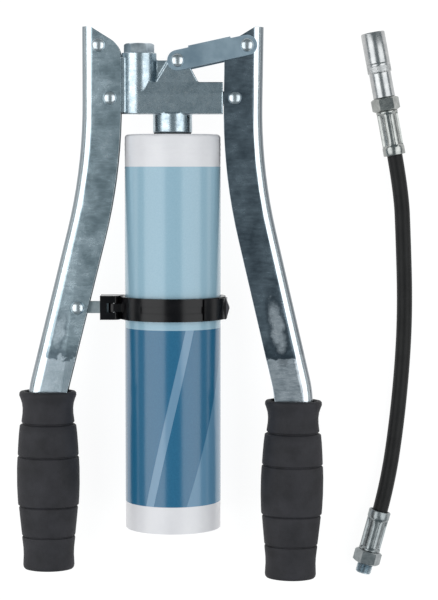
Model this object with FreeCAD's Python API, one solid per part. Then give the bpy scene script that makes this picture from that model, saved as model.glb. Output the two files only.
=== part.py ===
import FreeCAD, Part
import math
import os

# Two-handled grease gun with a screw-in cartridge, and its loose high-pressure hose.
# Millimetres. The gun lies on its back: +Y runs to the pump head, +Z is up.
# The gun is built about the crossing of the pump barrel's axis (X) and the
# cartridge's axis (Y), then moved so that the origin is the centre of its underside.

# ---------------------------------------------------------------- driving sizes
# Clearances
RUNNING = 0.05              # radial play of a pin or plunger in its hole
SLIDE = 0.1                 # play between flat faces that turn on each other
APART = 0.4                 # gap between bodies that must never touch
HANDLE_GAP = 2.0            # between the handles' free edges and the cartridge
SEATED = 0.02               # gap of a piece that rests in its seat

# Handles: pressed steel channels, left fixed, right swinging
SHEET = 2.0                 # steel thickness
CHANNEL_WIDTH = 18.0        # across the two flanges
CHANNEL_DEPTH = 23.4        # web's outer face to the flanges' free edges
WEB_BEND = 6.8              # outside radius of the fold between web and flange
HANDLE_TOP = 42.8           # above the lower rivet
WEB_OFFSET = 16.8           # lower rivet to the web's outer face
TOP_FLAT = 5.2              # level stretch at the head end of the flange
TOP_SLOPE = 32.0            # degrees, fall of the flange's end
TOP_ROUND = 12.0            # radius of the flange's nose
BEND_START = -2.2           # where the outward bend starts, from the lower rivet
BEND_RADIUS = 320.0         # at the web's outer face
SPLAY = 14.0                # degrees, slope of the handle below the bend
SLANT_LENGTH = 92.6         # straight sloping stretch
RETURN_RADIUS = 45.0        # of the bend back to upright, at the free edges
HANDLE_END = -285.2         # lower end, inside the grip
RIVET_ACROSS = 6.8          # upper rivet from the lower one, across
RIVET_UP = 31.6             # and along
CLOSED_TILT = -0.9          # degrees, right handle when squeezed shut

# Rivets
RIVET_R = 2.5
RIVET_LIP = 1.6             # rivet head's rim outside the shank
RIVET_HEAD_H = 2.3
OPEN_PIVOT_PLAY = 1.0       # radial play in the link's far eye

# Grips: moulded rubber sleeves
GRIP_WIDTH = 38.4
GRIP_DEPTH = 31.0
GRIP_LENGTH = 110.0
LEFT_GRIP_UP = 5.2          # left grip sits this much further up its handle
GRIP_MOUTH = 4.0            # below the rim, where the flanges get narrower
FLANGE_TRIM = 3.2           # taken off their free edges there, so the rubber covers them
GRIP_FLOOR = 8.0            # rubber below the handle's end
GRIP_FIT = 0.05
GRIP_SIDE = [               # below the rim, and the share of half the width
    (0, 0.86), (1.2, 0.905), (2.8, 0.91), (10.5, 0.808), (17.0, 0.84), (23.0, 0.91), (33.0, 0.955),
    (45.0, 0.99), (56.0, 1.0), (66.0, 0.98), (75.0, 0.93), (84.0, 0.875), (93.5, 0.825), (98.5, 0.806),
    (105.5, 0.815), (108.5, 0.80), (GRIP_LENGTH, 0.72)]
GRIP_GROOVES = [(20.0, 0.87), (40.0, 0.97), (70.5, 0.955), (89.1, 0.845)]
GROOVE_HALF = 0.7
GROOVE_DEPTH = 1.3

# Pump head: zinc die casting
BARREL_HALF = 9.55          # half height of the barrel block
BARREL_SHORT = 0.5          # barrel's open end inside the handle's free edge
BOSS_GAP = 0.2              # outlet boss to the left handle
BOSS_R = 10.6
BOSS_TOP = 27.3
CHAMFER_LOW = 2.3           # where the barrel's sloped shoulder starts
NECK_R = 11.9
NECK_LENGTH = 11.2
LUG_X = 3.2                 # lug rivet
LUG_Y = 22.4
LUG_EYE_R = 5.6
LUG_FOOT_LEFT = -10.2
LUG_FOOT_RIGHT = 15.7
RIB_HALF = 2.5              # half thickness of the rib from the boss to the lug
NECK_WAY_R = 4.0            # grease way through the neck
TONGUE_DEPTH = 17.0         # how far the head reaches into the left channel

# Plunger and its seal
PLUNGER_R = 4.5
PLUNGER_TIP = -10.0
PLUNGER_HEAD = 6.2          # half height of the square head
SEAL_R = 7.0
SEAL_LENGTH = 4.0
RETAINER_LENGTH = 2.0

# Outlet and its check valve
OUTLET_AF = 15.9
OUTLET_HEAD = 5.6
OUTLET_STEM_R = 6.5
OUTLET_STEM = 14.0
THREAD_HOLE_R = 4.5
THREAD_HOLE_DEPTH = 11.0
WASHER_R = 8.4
WASHER_H = 1.0
PORT_R = 1.8
VALVE_SEAT_Y = 3.0
BALL_R = 3.175
BALL_LIFT = 1.0
CHAMBER_R = 4.2
SPRING_WIRE = 0.5
SPRING_MEAN_R = 2.4

# Link between lug and right handle: folded steel
LINK_EYE_R = 6.1
LINK_WEB_START = 8.0        # from the lug rivet, along the link
LINK_WEB_END = 34.0
LINK_CROWN = 1.0            # the web's outer face stands this far above the eyes

# Cartridge
CARTRIDGE_R = 29.0
CARTRIDGE_WALL = 1.5
CARTRIDGE_LENGTH = 239.7
CARTRIDGE_GAP = 1.0         # head's neck to the cartridge's shoulder
SHOULDER_ROUND = 2.2
NECK_THREAD_R = 8.6
NECK_THREAD_LENGTH = 10.5
NECK_BORE_R = 6.6
LABEL_THICKNESS = 0.15
LABEL_TOP = 19.5            # below the cartridge's shoulder
LABEL_BOTTOM = 16.4         # above the cartridge's lower end
CAP_SKIRT = 9.0
CAP_THICKNESS = 2.0
PISTON_LENGTH = 22.0
PISTON_WALL = 1.6
PISTON_REST = 3.0           # above the cap

# Clamp
CLAMP_BELOW = 104.85        # mid height below the cartridge's shoulder
CLAMP_HEIGHT = 13.7
CLAMP_THICKNESS = 2.6
CLAMP_SPLIT = 3.0           # plane between saddle and strap
BLOCK_REACH = 11.9          # how far the block stands out from the ring
BLOCK_HEIGHT = 14.6
HINGE_OUT = 3.45            # hinge pin from the ring's outside
HINGE_UP = 4.5
KNUCKLE_R = 3.4
KNUCKLE_HALF = 2.5
HINGE_PIN_R = 1.2
CATCH_LOW = -7.0
CATCH_HIGH = 9.0
CATCH_REACH = 2.4           # the catch's point stands this far out from the ring
PEG_R = 0.8
PEG_LENGTH = 3.5
BRACKET_HEIGHT = 7.3
BRACKET_THICKNESS = 3.0
BRACKET_RIVET_INSET = 6.0   # rivet from the flange's free edge
BRACKET_BOSS_R = 4.2

# Hose and its fittings
HOSE_R = 4.8
FITTING_AF = 15.0
FERRULE_R = 6.85
FERRULE_MOUTH_R = 5.7
FERRULE_MOUTH_DEPTH = 4.0
LOWER_FERRULE = 26.0
UPPER_FERRULE = 27.6
HEX_LENGTH = 8.3
HOSE_THREAD_R = 4.95
HOSE_THREAD_LENGTH = 6.5
OIL_WAY_R = 1.75
COUPLER_R = 7.4
COUPLER_BODY_R = 6.75
COUPLER_SLEEVE = 19.3
COUPLER_COLLAR = 6.0
COUPLER_SHANK = 15.4
COUPLER_WALL = 1.4
JAW_TRAVEL = 1.5
JAW_BORE_R = 3.3
JAW_LENGTH = 8.6
JAW_SLIT = 0.9              # between one jaw and the next
SEAL_DISC = 2.4

# The hose's route on the floor, from the threaded end's ferrule to the coupler's:
# corner points of its straight runs, in the finished part's own frame.
HOSE_ROUTE = [
    (130.1, -134.8, 7.5),
    (135.5, -114.8, 7.5),
    (141.3, -77.1, 4.95),
    (145.1, -34.1, 4.85),
    (146.1, 0.9, 4.85),
    (144.7, 40.9, 4.95),
    (143.1, 68.9, 7.5),
    (138.1, 95.5, 7.5),
]


# ---------------------------------------------------------------- small helpers
def vec(x, y, z=0.0):
    return FreeCAD.Vector(x, y, z)


def box(x0, x1, y0, y1, z0, z1):
    return Part.makeBox(x1 - x0, y1 - y0, z1 - z0, vec(x0, y0, z0))


def rod(radius, start, end):
    return Part.makeCylinder(radius, (end - start).Length, start, end - start)


def rod_x(radius, x0, x1, y=0.0, z=0.0):
    return rod(radius, vec(x0, y, z), vec(x1, y, z))


def rod_y(radius, x, y0, y1, z=0.0):
    return rod(radius, vec(x, y0, z), vec(x, y1, z))


def rod_z(radius, x, y, z0, z1):
    return rod(radius, vec(x, y, z0), vec(x, y, z1))


def fuse(*shapes):
    return shapes[0].multiFuse(list(shapes[1:])).removeSplitter()


def outline(points, radii):
    """A closed wire through the corners, each rounded by its own radius."""
    corners = [vec(*p) for p in points]
    count = len(corners)
    pieces = []
    starts = []
    for i, corner in enumerate(corners):
        before = (corners[i - 1] - corner).normalize()
        after = (corners[(i + 1) % count] - corner).normalize()
        if radii[i] == 0:
            starts.append((corner, corner, None))
            continue
        half = before.getAngle(after) / 2
        reach = radii[i] / math.tan(half)
        first = corner + before * reach
        last = corner + after * reach
        inward = (before + after).normalize()
        middle = corner + inward * (radii[i] / math.sin(half) - radii[i])
        starts.append((first, last, middle))
    for i in range(count):
        first, last, middle = starts[i]
        if middle is not None:
            pieces.append(Part.Arc(first, middle, last).toShape())
        following = starts[(i + 1) % count][0]
        if (following - last).Length > 1e-6:
            pieces.append(Part.LineSegment(last, following).toShape())
    return Part.Wire(pieces)


def plate(points, z0, z1, radii=None):
    wire = outline(points, radii or [0] * len(points))
    face = Part.Face(wire)
    face.translate(vec(0, 0, z0))
    return face.extrude(vec(0, 0, z1 - z0))


def hexagon(across_flats, x, y0, y1, z=0.0, turn=0.0):
    """Hexagonal bar along +Y with a flat facing down when turn is 0."""
    radius = across_flats / math.sqrt(3)
    angles = [math.radians(turn + 60 * k) for k in range(6)]
    points = [vec(x + radius * math.cos(a), y0, z + radius * math.sin(a)) for a in angles]
    face = Part.Face(Part.makePolygon(points + points[:1]))
    return face.extrude(vec(0, y1 - y0, 0))


def hex_chamfer(across_flats, x, y0, y1, z=0.0, both=True):
    """Turned shape that trims a hexagonal bar's corners at its ends."""
    corner = across_flats / math.sqrt(3)
    flat = across_flats / 2
    drop = (corner - flat) * 0.6
    ends = [(0, y0), (flat, y0), (corner, y0 + drop)] if both else [(0, y0), (corner, y0)]
    profile = ends + [(corner, y1 - drop), (flat, y1), (0, y1)]
    return turned(profile, x, z)


def turned(profile, x=0.0, z=0.0):
    """Solid turned about the line through (x, z) along Y, from (radius, y) points."""
    points = [vec(x + r, y, z) for r, y in profile]
    face = Part.Face(Part.makePolygon(points + points[:1]))
    return face.revolve(vec(x, 0, z), vec(0, 1, 0), 360)


def dome(radius, height, x, y, z, side):
    """Rivet head: a cap of a sphere standing on the plane at z."""
    ball_r = (radius ** 2 + height ** 2) / (2 * height)
    centre = vec(x, y, z - side * (ball_r - height))
    keep = rod_z(radius + 1, x, y, z, z + side * (height + 1))
    return Part.makeSphere(ball_r, centre).common(keep)


def rivet(x, y, half_grip):
    """Round rivet along Z with a domed head at each end."""
    shank = rod_z(RIVET_R, x, y, -half_grip, half_grip)
    heads = [dome(RIVET_HEAD_R, RIVET_HEAD_H, x, y, s * half_grip, s) for s in (1, -1)]
    return fuse(shank, *heads)


def coil(mean_r, wire_r, pitch, turns, x, y, z=0.0):
    """Round-wire spring along +Y that starts at y, as flat facets."""
    steps = 16
    sides = 8
    rings = []
    for k in range(steps * turns + 1):
        a = 2 * math.pi * k / steps
        outward = vec(math.cos(a), 0, math.sin(a))
        centre = vec(x, y + wire_r + pitch * k / steps, z) + outward * mean_r
        ring_points = []
        for j in range(sides):
            b = 2 * math.pi * j / sides
            ring_points.append(centre + outward * (wire_r * math.cos(b)) + vec(0, wire_r * math.sin(b)))
        rings.append(ring_points)
    corners = []
    for near, far in zip(rings, rings[1:]):
        for j in range(sides):
            following = (j + 1) % sides
            corners.append([near[j], far[j], far[following]])
            corners.append([near[j], far[following], near[following]])
    faces = [Part.Face(Part.makePolygon(c + c[:1])) for c in corners]
    faces += [Part.Face(Part.makePolygon(end + end[:1])) for end in (rings[0], rings[-1])]
    spring = Part.makeSolid(Part.makeShell(faces))
    return spring if spring.Volume > 0 else spring.reversed()


# ---------------------------------------------------------------- worked-out places
FREE_EDGE = CARTRIDGE_R + HANDLE_GAP
PIVOT_X = FREE_EDGE + CHANNEL_DEPTH - WEB_OFFSET
BARREL_END = FREE_EDGE - BARREL_SHORT
BOSS_X = BOSS_R + BOSS_GAP - FREE_EDGE
RIVET_HEAD_R = RIVET_R + RIVET_LIP
HALF_WIDTH = CHANNEL_WIDTH / 2
HALF_INSIDE = HALF_WIDTH - SHEET
LEFT_PIVOT = vec(-PIVOT_X, 0)
RIGHT_PIVOT = vec(PIVOT_X, 0)
LUG_PIN = vec(LUG_X, LUG_Y)
LINK_INSIDE = HALF_WIDTH + SLIDE * 2
LINK_OUTSIDE = LINK_INSIDE + SHEET
tilt = math.radians(CLOSED_TILT)
LINK_PIN = RIGHT_PIVOT + vec(RIVET_ACROSS * math.cos(tilt) - RIVET_UP * math.sin(tilt),
                             RIVET_ACROSS * math.sin(tilt) + RIVET_UP * math.cos(tilt))
LINK_LENGTH = (LINK_PIN - LUG_PIN).Length
NECK_END = -BARREL_HALF - NECK_LENGTH
SHOULDER_Y = NECK_END - CARTRIDGE_GAP
BASE_Y = SHOULDER_Y - CARTRIDGE_LENGTH
CLAMP_Y = SHOULDER_Y - CLAMP_BELOW
CLAMP_INNER = CARTRIDGE_R + LABEL_THICKNESS + APART
CLAMP_OUTER = CLAMP_INNER + CLAMP_THICKNESS
HINGE_X = -CLAMP_OUTER - HINGE_OUT
PEG_X = CLAMP_OUTER - 0.9
COUPLER_BORE = COUPLER_R - COUPLER_WALL
JAW_R = COUPLER_BORE - RUNNING
JAW_NOSE_R = JAW_R - 1.1
COUPLER_LENGTH = COUPLER_SLEEVE + COUPLER_COLLAR + COUPLER_SHANK


# ---------------------------------------------------------------- handles and grips
def handle_corners(near, far, end):
    """Corners of a band of the channel's side view, between two depths from the web."""
    half_turn = math.tan(math.radians(SPLAY) / 2)
    slope = math.radians(SPLAY)

    def bend_corners(depth):
        x = WEB_OFFSET - depth
        first = (x, BEND_START - (BEND_RADIUS + depth) * half_turn)
        reach = BEND_RADIUS * half_turn + SLANT_LENGTH + (RETURN_RADIUS + CHANNEL_DEPTH) * half_turn
        across = reach * math.sin(slope)
        along = reach * math.cos(slope)
        outer = (WEB_OFFSET + across, BEND_START - BEND_RADIUS * half_turn - along)
        second = (outer[0] - depth, outer[1] - depth * half_turn)
        return first, second

    near_bends = bend_corners(near)
    far_bends = bend_corners(far)
    corners = [near_bends[0], near_bends[1], (near_bends[1][0], end), (far_bends[1][0], end),
               far_bends[1], far_bends[0]]
    radii = [BEND_RADIUS + near, RETURN_RADIUS + CHANNEL_DEPTH - near, 0, 0,
             RETURN_RADIUS + CHANNEL_DEPTH - far, BEND_RADIUS + far]
    return corners, radii


def channel_block(grow, up):
    """The channel's outer shape as a solid bar, grown by a fit, for a grip that sits this far up."""
    end = HANDLE_END
    corners, radii = handle_corners(-grow, CHANNEL_DEPTH + grow, end)
    nose_x = WEB_OFFSET - CHANNEL_DEPTH - grow
    fall = (CHANNEL_DEPTH - TOP_FLAT) * math.tan(math.radians(TOP_SLOPE))
    top = [(nose_x, HANDLE_TOP - fall), (WEB_OFFSET - TOP_FLAT, HANDLE_TOP),
           (WEB_OFFSET + grow, HANDLE_TOP)]
    solid = plate(corners + top, -HALF_WIDTH - grow, HALF_WIDTH + grow, radii + [TOP_ROUND, 0, 0])
    solid = round_web(solid, -grow, HALF_WIDTH + grow, WEB_BEND + grow)
    edge = corners[3][0]
    mouth = rim_height(up) - GRIP_MOUTH - grow
    return solid.cut(box(edge - 1, edge + FLANGE_TRIM, end - 1, mouth, -HALF_WIDTH - 1, HALF_WIDTH + 1))


def rim_height(up):
    """Height of a grip's rim when the grip sits this far up its handle."""
    return HANDLE_END - GRIP_FLOOR + GRIP_LENGTH + up


def channel_hollow(end):
    """The space between the flanges, open towards the cartridge and at both ends."""
    corners, radii = handle_corners(SHEET, CHANNEL_DEPTH + 5, end - 5)
    top = [(WEB_OFFSET - CHANNEL_DEPTH - 5, HANDLE_TOP + 5), (WEB_OFFSET - SHEET, HANDLE_TOP + 5)]
    solid = plate(corners + top, -HALF_INSIDE, HALF_INSIDE, radii + [0, 0])
    return round_web(solid, SHEET, HALF_INSIDE, WEB_BEND - SHEET)


def round_web(solid, depth, half, radius):
    """Rounds the two long edges of a channel-shaped bar on its web side."""
    beyond = 2 * CHANNEL_DEPTH
    corners, radii = handle_corners(depth, beyond, HANDLE_END - beyond)
    top = HANDLE_TOP + beyond
    guide = outline(corners + [(WEB_OFFSET - beyond, top), (WEB_OFFSET - depth, top)], radii + [0, 0])
    chosen = []
    for edge in solid.Edges:
        middle = edge.valueAt((edge.FirstParameter + edge.LastParameter) / 2)
        on_side = abs(abs(middle.z) - half) < 1e-4
        flat = Part.Vertex(vec(middle.x, middle.y, 0))
        if on_side and flat.distToShape(guide)[0] < 1e-3:
            chosen.append(edge)
    return solid.makeFillet(radius, chosen)


def channel(up):
    body = channel_block(0, up).cut(channel_hollow(HANDLE_END))
    for x, y in ((0, 0), (RIVET_ACROSS, RIVET_UP)):
        body = body.cut(rod_z(RIVET_R, x, y, -HALF_WIDTH - 1, HALF_WIDTH + 1))
    return body


def free_edge(y):
    """Distance of the sloping flange's free edge from the pivot, at a height y."""
    corners, _ = handle_corners(0, CHANNEL_DEPTH, HANDLE_END)
    upper, lower = corners[5], corners[4]
    share = (y - upper[1]) / (lower[1] - upper[1])
    return upper[0] + share * (lower[0] - upper[0])


def grip(up):
    """Oval rubber sleeve with a flared rim, four grooves and a rounded foot."""
    corners, _ = handle_corners(0, CHANNEL_DEPTH, HANDLE_END)
    axis = (corners[2][0] + corners[3][0]) / 2
    rim = rim_height(up)
    profile = [(0, rim)] + [(GRIP_WIDTH / 2 * share, rim - below) for below, share in GRIP_SIDE]
    for below, share in GRIP_GROOVES:
        place = [k for k, point in enumerate(profile) if point[1] > rim - below][-1] + 1
        wide = GRIP_WIDTH / 2 * share
        profile[place:place] = [(wide, rim - below + GROOVE_HALF), (wide - GROOVE_DEPTH, rim - below),
                                (wide, rim - below - GROOVE_HALF)]
    sleeve = turned(profile + [(0, rim - GRIP_LENGTH)], axis)
    flatten = FreeCAD.Matrix()
    flatten.scale(1, 1, GRIP_DEPTH / GRIP_WIDTH)
    return sleeve.transformGeometry(flatten).cut(channel_block(GRIP_FIT, up))


def mirrored(shape):
    return shape.mirror(vec(0, 0, 0), vec(1, 0, 0))


def left_side(shape):
    placed = mirrored(shape)
    placed.translate(LEFT_PIVOT)
    return placed


def right_side(shape):
    placed = shape.copy()
    placed.rotate(vec(0, 0, 0), vec(0, 0, 1), CLOSED_TILT)
    placed.translate(RIGHT_PIVOT)
    return placed


def left_handle():
    body = left_side(channel(LEFT_GRIP_UP))
    return body.cut(rod_z(RIVET_R, BRACKET_RIVET.x, BRACKET_RIVET.y, -HALF_WIDTH - 1, HALF_WIDTH + 1))


def right_handle():
    body = right_side(channel(0))
    return body.cut(rod_z(RIVET_R + RUNNING, PIVOT_X, 0, -HALF_WIDTH - 1, HALF_WIDTH + 1))


BRACKET_RIVET = vec(-PIVOT_X - free_edge(CLAMP_Y) - BRACKET_RIVET_INSET, CLAMP_Y)


# ---------------------------------------------------------------- pump head
def pump_head():
    section = [(-BARREL_HALF, -BOSS_R), (CHAMFER_LOW, -BOSS_R), (BARREL_HALF, -HALF_WIDTH),
               (BARREL_HALF, HALF_WIDTH), (CHAMFER_LOW, BOSS_R), (-BARREL_HALF, BOSS_R)]
    points = [vec(BOSS_X, y, z) for y, z in section]
    barrel = Part.Face(Part.makePolygon(points + points[:1])).extrude(vec(BARREL_END - BOSS_X, 0, 0))
    boss = rod_y(BOSS_R, BOSS_X, -BARREL_HALF, BOSS_TOP)
    neck = rod_y(NECK_R, 0, NECK_END, -BARREL_HALF + 0.5)
    foot_y = BARREL_HALF - 1
    lug = plate([(LUG_FOOT_LEFT, foot_y), (LUG_FOOT_RIGHT, foot_y), (LUG_FOOT_RIGHT, BARREL_HALF),
                 (LUG_X + LUG_EYE_R, LUG_Y), (LUG_X - LUG_EYE_R, LUG_Y), (LUG_FOOT_LEFT, BARREL_HALF)],
                -HALF_WIDTH, HALF_WIDTH)
    eye = rod_z(LUG_EYE_R, LUG_X, LUG_Y, -HALF_WIDTH, HALF_WIDTH)
    rib = box(BOSS_X, LUG_X - LUG_EYE_R, 0, LUG_Y + 0.4, -RIB_HALF, RIB_HALF)
    tongue_half = HALF_INSIDE - SLIDE
    tip = -FREE_EDGE - TONGUE_DEPTH
    tongue = plate([(BOSS_X, -BARREL_HALF + 1), (tip + 5, -BARREL_HALF + 1),
                    (tip, RIVET_UP - 4), (tip, RIVET_UP + 5),
                    (tip + 6, RIVET_UP + 5), (-FREE_EDGE - 3, BOSS_TOP - 3),
                    (BOSS_X, BOSS_TOP - 3)], -tongue_half, tongue_half)
    body = fuse(barrel, boss, neck, lug, eye, rib, tongue)
    cuts = [
        rod_x(PLUNGER_R + RUNNING, PLUNGER_TIP - APART, BARREL_END + 1),
        rod_x(SEAL_R, BARREL_END - RETAINER_LENGTH - SEAL_LENGTH, BARREL_END + 1),
        rod_x(PORT_R, BOSS_X, 0),
        rod_y(PORT_R, BOSS_X, 0, VALVE_SEAT_Y + 1),
        rod_y(CHAMBER_R, BOSS_X, VALVE_SEAT_Y, BOSS_TOP),
        rod_y(OUTLET_STEM_R, BOSS_X, BOSS_TOP - OUTLET_STEM, BOSS_TOP + 1),
        rod_y(WASHER_R, BOSS_X, BOSS_TOP - WASHER_H, BOSS_TOP + 1),
        rod_y(NECK_WAY_R, 0, NECK_END - 1, 0),
        rod_y(NECK_THREAD_R + RUNNING, 0, NECK_END - 1, SHOULDER_Y + NECK_THREAD_LENGTH + APART),
        rod_z(RIVET_R, LUG_X, LUG_Y, -HALF_WIDTH - 1, HALF_WIDTH + 1),
        rod_z(RIVET_R, -PIVOT_X, 0, -HALF_WIDTH, HALF_WIDTH),
        rod_z(RIVET_R, -PIVOT_X - RIVET_ACROSS, RIVET_UP, -HALF_WIDTH, HALF_WIDTH),
    ]
    for hole in cuts:
        body = body.cut(hole)
    return body


def plunger():
    head_half = HALF_INSIDE - SLIDE * 2
    shank = rod_x(PLUNGER_R, PLUNGER_TIP, PIVOT_X)
    head = box(BARREL_END + APART + 0.4, PIVOT_X + PLUNGER_HEAD, -PLUNGER_HEAD, PLUNGER_HEAD,
               -head_half, head_half)
    return fuse(shank, head).cut(rod_z(RIVET_R, PIVOT_X, 0, -HALF_WIDTH, HALF_WIDTH))


def plunger_seal():
    end = BARREL_END - RETAINER_LENGTH
    return rod_x(SEAL_R, end - SEAL_LENGTH, end).cut(rod_x(PLUNGER_R + RUNNING, 0, BARREL_END))


def seal_retainer():
    ring = rod_x(SEAL_R, BARREL_END - RETAINER_LENGTH, BARREL_END)
    return ring.cut(rod_x(PLUNGER_R + RUNNING, 0, BARREL_END + 1))


def outlet_fitting():
    top = BOSS_TOP + OUTLET_HEAD
    head = hexagon(OUTLET_AF, BOSS_X, BOSS_TOP, top)
    head = head.common(hex_chamfer(OUTLET_AF, BOSS_X, BOSS_TOP, top, both=False))
    stem = rod_y(OUTLET_STEM_R, BOSS_X, BOSS_TOP - OUTLET_STEM, BOSS_TOP + 1)
    body = fuse(head, stem)
    body = body.cut(rod_y(THREAD_HOLE_R, BOSS_X, top - THREAD_HOLE_DEPTH, top + 1))
    return body.cut(rod_y(PORT_R, BOSS_X, 0, top))


def outlet_washer():
    ring = rod_y(WASHER_R, BOSS_X, BOSS_TOP - WASHER_H, BOSS_TOP)
    return ring.cut(rod_y(OUTLET_STEM_R, BOSS_X, 0, BOSS_TOP + 1))


def ball_centre():
    return VALVE_SEAT_Y + math.sqrt(BALL_R ** 2 - PORT_R ** 2) + SEATED


def check_ball():
    return Part.makeSphere(BALL_R, vec(BOSS_X, ball_centre(), 0))


def check_spring():
    """Drawn at the length it has with the ball lifted off its seat."""
    start = ball_centre() + BALL_LIFT + math.sqrt(BALL_R ** 2 - SPRING_MEAN_R ** 2) + APART
    length = BOSS_TOP - OUTLET_STEM - start
    turns = 3
    pitch = (length - 2 * SPRING_WIRE - 0.1) / turns
    return coil(SPRING_MEAN_R, SPRING_WIRE, pitch, turns, BOSS_X, start)


# ---------------------------------------------------------------- link and rivets
def link():
    """Folded steel link: two side plates with round eyes, joined by a web on top."""
    crown = LINK_EYE_R + LINK_CROWN
    outer = fuse(box(0, LINK_LENGTH, -LINK_EYE_R, LINK_EYE_R, -LINK_OUTSIDE, LINK_OUTSIDE),
                 box(LINK_WEB_START, LINK_WEB_END, 0, crown, -LINK_OUTSIDE, LINK_OUTSIDE),
                 rod_z(LINK_EYE_R, 0, 0, -LINK_OUTSIDE, LINK_OUTSIDE),
                 rod_z(LINK_EYE_R, LINK_LENGTH, 0, -LINK_OUTSIDE, LINK_OUTSIDE))
    reach = LINK_EYE_R + LINK_LENGTH
    inside = box(-reach, 2 * reach, -2 * LINK_EYE_R, crown - SHEET, -LINK_INSIDE, LINK_INSIDE)
    before = box(-reach, LINK_WEB_START, 0, 2 * LINK_EYE_R, -LINK_INSIDE, LINK_INSIDE)
    after = box(LINK_WEB_END, 2 * reach, 0, 2 * LINK_EYE_R, -LINK_INSIDE, LINK_INSIDE)
    body = outer.cut(inside).cut(before).cut(after)
    body = body.cut(rod_z(RIVET_R + RUNNING, 0, 0, -LINK_OUTSIDE - 1, LINK_OUTSIDE + 1))
    body = body.cut(rod_z(RIVET_R + OPEN_PIVOT_PLAY, LINK_LENGTH, 0, -LINK_OUTSIDE - 1, LINK_OUTSIDE + 1))
    rise = math.degrees(math.atan2(LINK_PIN.y - LUG_PIN.y, LINK_PIN.x - LUG_PIN.x))
    body.rotate(vec(0, 0, 0), vec(0, 0, 1), rise)
    body.translate(LUG_PIN)
    return body


def left_handle_rivets():
    half = HALF_WIDTH
    lower = rivet(-PIVOT_X, 0, half)
    upper = rivet(-PIVOT_X - RIVET_ACROSS, RIVET_UP, half)
    return Part.makeCompound([lower, upper])


def lug_rivet():
    return rivet(LUG_X, LUG_Y, LINK_OUTSIDE + SLIDE)


def link_rivet():
    return rivet(LINK_PIN.x, LINK_PIN.y, LINK_OUTSIDE + SLIDE)


def plunger_rivet():
    return rivet(PIVOT_X, 0, HALF_WIDTH + SLIDE)


def bracket_rivet():
    return rivet(BRACKET_RIVET.x, BRACKET_RIVET.y, HALF_WIDTH)


# ---------------------------------------------------------------- cartridge
def cartridge_body():
    """Blow-moulded tube with a rounded shoulder and a threaded neck, open below."""
    r = CARTRIDGE_R
    outer = rod_y(r, 0, BASE_Y, SHOULDER_Y)
    rim = [e for e in outer.Edges if abs(e.BoundBox.YMin - SHOULDER_Y) < 1e-6 and e.Closed]
    outer = outer.makeFillet(SHOULDER_ROUND, rim[:1])
    neck = rod_y(NECK_THREAD_R, 0, SHOULDER_Y - 1, SHOULDER_Y + NECK_THREAD_LENGTH)
    inner = rod_y(r - CARTRIDGE_WALL, 0, BASE_Y - 1, SHOULDER_Y - CARTRIDGE_WALL * 1.5)
    crown = [e for e in inner.Edges if e.Closed and e.BoundBox.YMin > SHOULDER_Y - 5]
    inner = inner.makeFillet(SHOULDER_ROUND - CARTRIDGE_WALL, crown[:1])
    way = rod_y(NECK_BORE_R, 0, SHOULDER_Y - 5, SHOULDER_Y + NECK_THREAD_LENGTH + 1)
    return fuse(outer, neck).cut(inner).cut(way)


def neck_seal():
    """Flat rubber ring between the head's neck and the cartridge's shoulder."""
    ring = rod_y(NECK_R - 0.6, 0, SHOULDER_Y, NECK_END - SEATED)
    return ring.cut(rod_y(NECK_THREAD_R + RUNNING, 0, SHOULDER_Y - 1, NECK_END + 1))


def cartridge_label():
    top = SHOULDER_Y - LABEL_TOP
    bottom = BASE_Y + LABEL_BOTTOM
    sleeve = rod_y(CARTRIDGE_R + LABEL_THICKNESS, 0, bottom, top)
    return sleeve.cut(rod_y(CARTRIDGE_R, 0, bottom - 1, top + 1))


def cartridge_cap():
    """Push-in end cap with a vent hole, flush with the tube's end."""
    inside = CARTRIDGE_R - CARTRIDGE_WALL
    plug = rod_y(inside, 0, BASE_Y, BASE_Y + CAP_SKIRT)
    hollow = rod_y(inside - CAP_THICKNESS, 0, BASE_Y + CAP_THICKNESS, BASE_Y + CAP_SKIRT + 1)
    dish = rod_y(inside - 3 * CAP_THICKNESS, 0, BASE_Y - 1, BASE_Y + CAP_THICKNESS / 2)
    vent = rod_y(CAP_THICKNESS, 0, BASE_Y - 1, BASE_Y + CAP_SKIRT)
    return plug.cut(hollow).cut(dish).cut(vent)


def follower_piston():
    """Thin plastic piston that the air pushes up behind the grease."""
    r = CARTRIDGE_R - CARTRIDGE_WALL - RUNNING * 2
    start = BASE_Y + CAP_SKIRT + PISTON_REST
    cup = rod_y(r, 0, start, start + PISTON_LENGTH)
    hollow = rod_y(r - PISTON_WALL, 0, start - 1, start + PISTON_LENGTH - PISTON_WALL)
    groove = rod_y(r + 1, 0, start + 5, start + PISTON_LENGTH - 5)
    groove = groove.cut(rod_y(r - PISTON_WALL / 2, 0, start, start + PISTON_LENGTH))
    return cup.cut(hollow).cut(groove)


# ---------------------------------------------------------------- clamp
def ring(inner, outer, height):
    low = CLAMP_Y - height / 2
    band = rod_y(outer, 0, low, low + height)
    return band.cut(rod_y(inner, 0, low - 1, low + height + 1))


def above(z, height=60.0):
    return box(-100, 100, CLAMP_Y - 30, CLAMP_Y + 30, z, z + height)


def catch_corners(inner):
    """Side view of the catch: an arrow-shaped outer face."""
    half = CLAMP_HEIGHT / 2
    tip = CLAMP_OUTER + CATCH_REACH
    return [(inner, CLAMP_Y - half), (tip - 2, CLAMP_Y - half), (tip, CLAMP_Y),
            (tip - 2.6, CLAMP_Y + half), (inner, CLAMP_Y + half)]


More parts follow.
